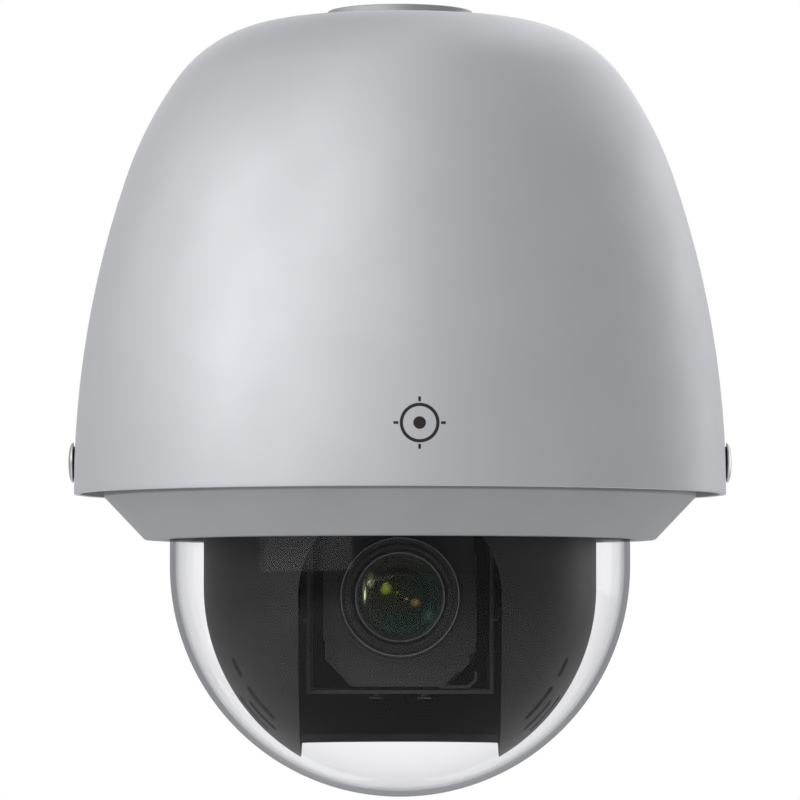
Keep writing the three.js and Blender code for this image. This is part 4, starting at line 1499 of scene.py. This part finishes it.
@dataclass
class Yoke:
    """The two arms under the turntable, the shafts in them and the tilt drive."""

    frame: Frame
    height: float = -226.0
    top: float = -169.3
    arm_inner: float = 42.0
    arm_outer: float = 46.0
    half_width: float = 22.0
    wheel: Gear = Gear(32, 1.5)
    pinion: Gear = Gear(10, 1.5)

    @property
    def axis(self) -> Place:
        """The tilt axis's middle."""
        return (0.0, 0.0, self.height)

    @property
    def drive(self) -> Place:
        """The pinion axis's middle."""
        return (0.0, 0.0, self.height + self.wheel.pitch + self.pinion.pitch)

    def build(self) -> None:
        """Builds both sides of the yoke and the drive."""
        for side, axis in (("left", Axis.LEFT), ("right", Axis.RIGHT)):
            self.arm(side)
            bush = outline((5.1, 40.0, 0.3), (10.0, 40.0, 0.3), (10.0, 41.7, 0.3), (8.0, 41.7), (8.0, 46.0, 0.3),
                           (5.1, 46.0, 0.3))
            # the bush takes black plastic's finish as painted shade
            self._seat_in_painted_shade(Workpiece.turned(bush, 64, axis, self.axis), f"bush_{side}", f"tilt_bush_{side}")
            self.shaft(side, axis)
        self.gears()
        self.motor()

    def arm(self, side: str) -> None:
        """One arm: a tapered plate with a window, a foot and the bush's hole."""
        high = self.top - self.height
        flat = [(-high, -self.half_width), (-high, self.half_width), *arc((0.0, 0.0), 14.0, 90, -90, 24)]
        arm = Workpiece.plate(flat, self.arm_inner, self.arm_outer, Axis.RIGHT, self.axis)
        window = outline((-44.0, -12.0, 3.0), (-44.0, 12.0, 3.0), (-20.0, 7.0, 3.0), (-20.0, -7.0, 3.0))
        arm.cut(Workpiece.plate(window, self.arm_inner - 1, self.arm_outer + 1, Axis.RIGHT, self.axis))
        arm.weld(Workpiece.box((32.0, -self.half_width, self.top - 3.0), (43.0, self.half_width, self.top)))
        arm.cut(Workpiece.rod(8.3, 30.0, 60.0, Axis.RIGHT, self.axis, 64))
        arm.bevel(0.4)
        for y in (-15.0, 15.0):
            arm.weld(Workpiece.rod(2.4, self.top - 4.6, self.top - 2.5, centre=(36.5, y, 0.0), steps=6))
        if side == "left":
            arm.turn((0.0, 0.0, math.pi))
        self.frame.seat(arm, f"arm_{side}", f"yoke_arm_{side}")

    def shaft(self, side: str, axis: Axis) -> None:
        """One stub shaft, screwed to the cradle by its disc."""
        end = abs(self.frame.high("tilt_shaft_right").x if side == "right" else self.frame.low("tilt_shaft_left").x)
        profile = outline((0.0, 35.7), (9.0, 35.7, 0.3), (9.0, 37.7, 0.3), (4.8, 37.7), (4.8, end, 0.6), (0.0, end))
        work = Workpiece.turned(profile, 64, axis, self.axis)
        for turn in (90.0, 210.0, 330.0):
            x, y = around(6.9, turn)
            head = Workpiece.rod(1.3, 37.2, 38.7, centre=(x, y, 0.0), steps=24, edge=0.3).put(axis, self.axis)
            work.weld(head)
        # the shaft takes black plastic's finish in place of steel, as painted shade
        self._seat_in_painted_shade(work, f"stub_shaft_{side}", f"tilt_shaft_{side}")

    def _seat_in_painted_shade(self, work: Workpiece, name: str, node: str) -> None:
        """Seats a piece in black plastic's finish instead of its slot's own, as painted shade, so that it stays dark
        behind the bubble.
        """
        # painted shade: a dark finish in place of the piece's own
        black = "black_plastic"
        self.frame.seat(work, name, node, finish=self.frame.finishes[black])

    def gears(self) -> None:
        """The tilt wheel on the right shaft and its pinion."""
        wheel = Workpiece.plate(self.wheel.flat(True), 47.5, 52.5, Axis.RIGHT, self.axis)
        wheel.cut(
            Workpiece.rod(5.1, 40.0, 60.0, Axis.RIGHT, self.axis),
            Workpiece.pipe(9.0, 18.5, 51.0, 53.5, Axis.RIGHT, self.axis, 0.5),
            Workpiece.pipe(9.0, 18.5, 46.5, 49.0, Axis.RIGHT, self.axis, 0.5),
        )
        for turn in range(0, 360, 60):
            x, y = around(13.7, turn)
            wheel.cut(Workpiece.rod(3.0, 40.0, 60.0, centre=(x, y, 0.0)).put(Axis.RIGHT, self.axis))
        self.frame.seat(wheel, "tilt_wheel", "tilt_gear")
        pinion = Workpiece.plate(self.pinion.flat(False), 47.7, 52.3, Axis.RIGHT, self.drive)
        pinion.weld(Workpiece.rod(1.5, 48.5, 61.3, Axis.RIGHT, self.drive, edge=0.2))
        self.frame.seat(pinion, "tilt_drive_pinion", "tilt_pinion")

    def motor(self) -> None:
        """The tilt motor and the bracket that holds it."""
        can = outline(
            (0.0, 57.0), (1.9, 57.0), (1.9, 56.3, 0.2), (4.0, 56.3, 0.2), (4.0, 57.0), (10.0, 57.0, 0.8),
            (10.0, 65.8, 0.3), (9.5, 66.1), (9.5, 67.3, 0.5), (3.0, 67.3), (3.0, 68.0, 0.3), (0.0, 68.0),
        )
        motor = Workpiece.turned(can, 72, Axis.RIGHT, self.drive)
        motor.cut(Workpiece.rod(1.9, 50.0, 62.3, Axis.RIGHT, self.drive))
        self.frame.seat(motor, "tilt_motor_can", "tilt_motor")
        x, y, z = self.drive
        flat = outline(
            (z - self.top, -12.0), (12.0, -12.0, 4.0), (12.0, 12.0, 4.0), (z - self.top, 12.0),
        )
        bracket = Workpiece.plate(flat, 53.6, 55.6, Axis.RIGHT, self.drive)
        bracket.weld(Workpiece.box((53.6, -12.0, self.top - 3.0), (63.5, 12.0, self.top)))
        bracket.cut(Workpiece.rod(2.2, 50.0, 60.0, Axis.RIGHT, self.drive))
        bracket.bevel(0.35)
        self.frame.seat(bracket, "motor_bracket", "tilt_motor_bracket")


# ---------------------------------------------------------------- the works in the housing


@dataclass
class Works:
    """What the housing holds: the pan drive, the bearing, the slip ring, the fan, the heater and the boards."""

    frame: Frame
    floor: float = -146.7
    motor_place: float = 75.0
    fan_place: float = -62.0
    pillar_reach: float = 45.0
    wheel: Gear = Gear(40, 3.0)
    pinion: Gear = Gear(10, 3.0)

    def build(self) -> None:
        """Builds every piece of the works."""
        self.chassis()
        self.turntable()
        self.pan_drive()
        self.bearing()
        self.slip_ring()
        self.fan()
        self.heater()
        self.boards()

    def corners(self) -> list[Point]:
        """Where the four pillars stand."""
        reach = self.pillar_reach
        return [(x, y) for x in (-reach, reach) for y in (-reach, reach)]

    def chassis(self) -> None:
        """The chassis plate, with its hub, pillars and holes."""
        profile = outline(
            (19.5, -165.5, 0.3), (24.0, -165.5, 0.4), (24.0, -150.0, 0.5), (104.6, -150.0, 0.4),
            (104.6, -147.0, 0.4), (19.5, -147.0, 0.3),
        )
        plate = Workpiece.turned(profile, 144)
        for x, y in self.corners():
            pillar = [(0.0, -148.0), (3.2, -148.0), (3.2, -100.3), (2.0, -100.3), (2.0, -80.3), (0.0, -80.3)]
            plate.weld(Workpiece.turned(pillar, 6, centre=(x, y, 0.0)))
        holes = [(*around(94.2, angle), 1.9) for angle in (90, 210, 330)]
        holes += [(*around(86.0, angle), 4.5) for angle in (60, 120, 150, 240, 300)]
        holes += [(self.motor_place, 0.0, 3.5), (self.fan_place, 0.0, 16.0)]
        for x, y, radius in holes:
            plate.cut(Workpiece.rod(radius, -155.0, -140.0, centre=(x, y, 0.0), steps=64))
        self.frame.seat(plate, "chassis", "chassis_plate")

    def turntable(self) -> None:
        """The turntable, with a hub up into the bearing and holes to lighten it."""
        profile = outline(
            (12.6, -169.0, 0.3), (76.0, -169.0, 0.4), (76.0, -166.0, 0.4), (41.0, -166.0), (41.0, -152.7, 0.5),
            (37.0, -152.7, 0.3), (37.0, -166.0), (12.6, -166.0, 0.3),
        )
        table = Workpiece.turned(profile, 144)
        for angle in range(15, 360, 30):
            x, y = around(69.0, angle)
            table.cut(Workpiece.rod(3.2, -175.0, -160.0, centre=(x, y, 0.0)))
        for angle in (0, 90, 180, 270):
            x, y = around(27.0, angle + 45)
            table.cut(Workpiece.rod(4.5, -175.0, -160.0, centre=(x, y, 0.0)))
        self.frame.seat(table, "pan_table", "turntable")

    def pan_drive(self) -> None:
        """The pan wheel, its pinion and the stepper motor."""
        wheel = Workpiece.plate(self.wheel.flat(True), -165.7, -159.7)
        wheel.cut(Workpiece.rod(41.7, -170.0, -150.0, steps=96), Workpiece.pipe(45.5, 53.0, -161.2, -155.0, edge=0.4))
        self.frame.seat(wheel, "pan_wheel", "pan_gear")
        centre = (self.motor_place, 0.0, 0.0)
        pinion = Workpiece.plate(self.pinion.flat(False), -165.2, -159.2, centre=centre)
        pinion.weld(Workpiece.rod(3.0, -164.2, -135.0, centre=centre, edge=0.3))
        self.frame.seat(pinion, "pan_drive_pinion", "pan_pinion")
        low, high = self.frame.span("pan_motor")
        self.frame.seat(self._stepper(low, high, centre), "pan_stepper", "pan_motor")

    def _stepper(self, low: float, high: float, centre: Place) -> Workpiece:
        """A square stepper motor: two end caps on a laminated middle, four screw holes and a shaft's bore."""
        square = [(21.0, 4.0), (20.4, 4.4)]
        bands = [(low, low + 8.0, 0), (low + 8.0, high - 8.0, 1), (high - 8.0, high, 0)]
        flats = [
            [(s - c, -s), (s, c - s), (s, s - c), (s - c, s), (c - s, s), (-s, s - c), (-s, c - s), (c - s, -s)]
            for s, c in square
        ]
        first, *rest = [Workpiece.plate(flats[k], a - 0.05 * k, b + 0.05 * k, centre=centre) for a, b, k in bands]
        motor = first.weld(*rest)
        motor.cut(Workpiece.rod(3.5, low - 1, low + 13, centre=centre))
        for x in (-15.5, 15.5):
            for y in (-15.5, 15.5):
                at = (centre[0] + x, y, 0.0)
                motor.cut(Workpiece.rod(2.2, high - 1.6, high + 1, centre=at, steps=24))
        return motor.bevel(0.25)

    def bearing(self) -> None:
        """The pan bearing's races, with round grooves, and its balls in their cage."""
        low, high, pitch, track, land = -163.0, -153.0, 30.5, 3.6, 1.9
        middle = (low + high) / 2
        edge = math.degrees(math.acos(land / track))
        groove_in = arc((pitch, middle), track, 180 + edge, 180 - edge, 12)
        groove_out = arc((pitch, middle), track, -edge, edge, 12)
        inner = [(24.3, low), (pitch - land, low), *groove_in, (pitch - land, high), (24.3, high)]
        outer = [(36.7, low), (pitch + land, low), *groove_out, (pitch + land, high), (36.7, high)]
        self.frame.seat(Workpiece.turned(inner, 128), "bearing_inner_race", "pan_bearing_inner")
        self.frame.seat(Workpiece.turned(outer, 128), "bearing_outer_race", "pan_bearing_outer")
        cage = Workpiece.pipe(pitch - 1.1, pitch + 1.1, middle - 1.6, middle + 1.6, edge=0.3)
        for k in range(8):
            x, y = around(pitch, 45 * k)
            cage.weld(Workpiece.turned(arc((0.0, 0.0), 2.9, -90, 90, 20), 40, centre=(x, y, middle)))
        self.frame.seat(cage, "bearing_balls", "pan_bearing_balls")

    def slip_ring(self) -> None:
        """The slip ring: a flanged sleeve, and a drum that turns in it."""
        stator = outline(
            (12.3, -165.5), (19.2, -165.5, 0.5), (19.2, -146.7), (23.0, -146.7, 0.3), (23.0, -144.7, 0.4),
            (15.3, -144.7), (15.3, -136.0, 0.4), (12.3, -136.0, 0.2),
        )
        self.frame.seat(Workpiece.turned(stator, 96), "slip_sleeve", "slip_ring_stator")
        rotor = outline(
            (0.0, -172.3), (17.0, -172.3, 0.5), (17.0, -169.3, 0.3), (12.0, -169.3), (12.0, -137.0, 0.4),
            (6.0, -137.0, 0.4), (6.0, -139.0, 0.4), (0.0, -139.0),
        )
        self.frame.seat(Workpiece.turned(rotor, 96), "slip_drum", "slip_ring_rotor")

    def fan(self) -> None:
        """The cooling fan: a square frame with a three-legged hub, and a seven-bladed rotor."""
        centre = (self.fan_place, 0.0, 0.0)
        floor = self.floor
        flat = outline((-20, -20, 2.5), (20, -20, 2.5), (20, 20, 2.5), (-20, 20, 2.5))
        frame = Workpiece.plate(flat, floor, floor + 10.0)
        frame.cut(Workpiece.rod(18.0, floor - 1, floor + 11, steps=96))
        for angle in range(45, 360, 90):
            x, y = around(16.0 * math.sqrt(2), angle)
            frame.cut(Workpiece.rod(1.7, floor - 1, floor + 11, centre=(x, y, 0.0)))
        frame.bevel(0.4)
        frame.weld(Workpiece.rod(8.0, floor, floor + 1.2, edge=0.2), Workpiece.rod(1.5, floor, floor + 5.0))
        for angle in (0, 120, 240):
            leg = Workpiece.box((7.0, -1.2, floor), (19.0, 1.2, floor + 1.2), 0.2)
            frame.weld(leg.turn((0.0, 0.0, math.radians(angle))))
        self.frame.seat(frame.put(Axis.UP, centre), "fan_housing", "fan_frame")
        low = floor + 1.7
        rotor = Workpiece.rod(8.0, low, floor + 9.0, steps=72, edge=0.8)
        for k in range(7):
            flat = outline((6.5, -3.4), (16.4, -4.2, 1.2), (16.4, 2.8, 1.6), (6.5, 3.0))
            blade = Workpiece.plate(flat, -0.5, 0.5).turn((math.radians(33.0), 0.0, 0.0))
            rotor.weld(blade.turn((0.0, 0.0, math.tau * k / 7), (0.0, 0.0, floor + 5.6)))
        rotor.cut(Workpiece.rod(1.9, low - 1, floor + 5.4))
        self.frame.seat(rotor.put(Axis.UP, centre), "fan_blades", "fan_rotor")

    def heater(self) -> None:
        """The heater: a finned block."""
        floor = self.floor
        heater = Workpiece.box((-25.0, -80.0, floor), (25.0, -66.0, floor + 4.0))
        for k in range(8):
            x = -25.0 + 7.0 * k
            heater.weld(Workpiece.box((x, -80.0, floor + 3.0), (x + 1.0, -66.0, floor + 14.0)))
        self.frame.seat(heater.bevel(0.25), "heater_fins", "heater_block")

    def boards(self) -> None:
        """The main and power boards and what is mounted on them."""
        main = Workpiece.rod(72.0, -100.0, -98.4, steps=128, edge=0.2)
        power = Workpiece.rod(68.0, -80.0, -78.4, steps=128, edge=0.2)
        power.cut(Workpiece.rod(22.5, -90.0, -70.0, steps=64))
        for x, y in self.corners():
            main.cut(Workpiece.rod(2.3, -102.0, -90.0, centre=(x, y, 0.0)))
        self.frame.seat(main, "main_circuit_board", "main_board")
        self.frame.seat(power, "power_circuit_board", "power_board")
        chips = self._chip(0.0, 0.0, 14.0, -98.5, 5.0)
        chips.join(self._chip(-32.0, 18.0, 8.0, -98.5, 2.4), self._chip(34.0, -19.0, 8.0, -98.5, 2.2))
        self._mount(chips, "main_board_chips", "main_board", "black_plastic")
        coils = Workpiece.box((28.0, -38.0, -78.5), (48.0, -18.0, -65.4), 1.0)
        coils.join(Workpiece.box((-46.0, -30.0, -78.5), (-30.0, -14.0, -70.0), 0.8))
        self._mount(coils, "power_board_coils", "power_board", "charcoal_plastic")
        cans = Workpiece.rod(8.0, -78.5, -62.0, centre=(38.0, 0.0, 0.0), steps=64, edge=0.8)
        for x, y in ((-38.0, 4.0), (-46.0, 10.0), (-34.0, 14.0)):
            cans.join(Workpiece.rod(3.6, -78.5, -67.0, centre=(x, y, 0.0), edge=0.5))
        self._mount(cans, "power_board_cans", "power_board", "cast_aluminium")
        self.connectors()

    def _mount(self, work: Workpiece, name: str, board: str, slot: str) -> None:
        """Puts parts with a finish of their own on a board."""
        self.frame.seat(work, name, board, finish=self.frame.finishes[slot])

    def _chip(self, x: float, y: float, half: float, foot: float, height: float) -> Workpiece:
        """A chip with a row of leads along each side."""
        chip = Workpiece.box((x - half, y - half, foot + 0.2), (x + half, y + half, foot + height), 0.3)
        pins = int(half)
        for k in range(pins):
            at = (k - (pins - 1) / 2) * 1.7
            chip.join(Workpiece.box((x - half - 1, y + at - 0.3, foot), (x + half + 1, y + at + 0.3, foot + 0.5)))
            chip.join(Workpiece.box((x + at - 0.3, y - half - 1, foot), (x + at + 0.3, y + half + 1, foot + 0.5)))
        return chip

    def connectors(self) -> None:
        """The network jack on the main board and the terminal block on the power board."""
        foot = -98.1
        jack = Workpiece.box((-8.0, -60.0, foot), (8.0, -39.0, foot + 13.5))
        jack.cut(Workpiece.box((-6.0, -61.0, foot + 2.5), (6.0, -48.0, foot + 9.0)))
        jack.cut(Workpiece.box((-3.0, -61.0, foot + 8.0), (3.0, -48.0, foot + 11.0)))
        self.frame.seat(jack.bevel(0.4), "jack_shell", "network_jack")
        foot = -78.1
        block = Workpiece.box((-18.0, 34.0, foot), (18.0, 46.0, foot + 12.0))
        for k in range(6):
            x = -15.0 + 6.0 * k
            block.cut(Workpiece.box((x - 2.0, 33.0, foot + 2.0), (x + 2.0, 40.0, foot + 7.0)))
            block.cut(Workpiece.rod(1.9, foot + 9.0, foot + 13.0, centre=(x, 41.0, 0.0), steps=24))
        self.frame.seat(block.bevel(0.3), "terminals", "terminal_block")


def main() -> None:
    """Builds the scene."""
    logging.basicConfig(level=logging.INFO, format="%(message)s")
    frame = Frame()
    Studio().build()
    for assembly in (Casing(frame), Dome(frame), Shroud(frame), Module(frame), Yoke(frame), Works(frame)):
        assembly.build()
    frame.dress_rest()
    frame.write_sizes()


if __name__ == "__main__":
    main()
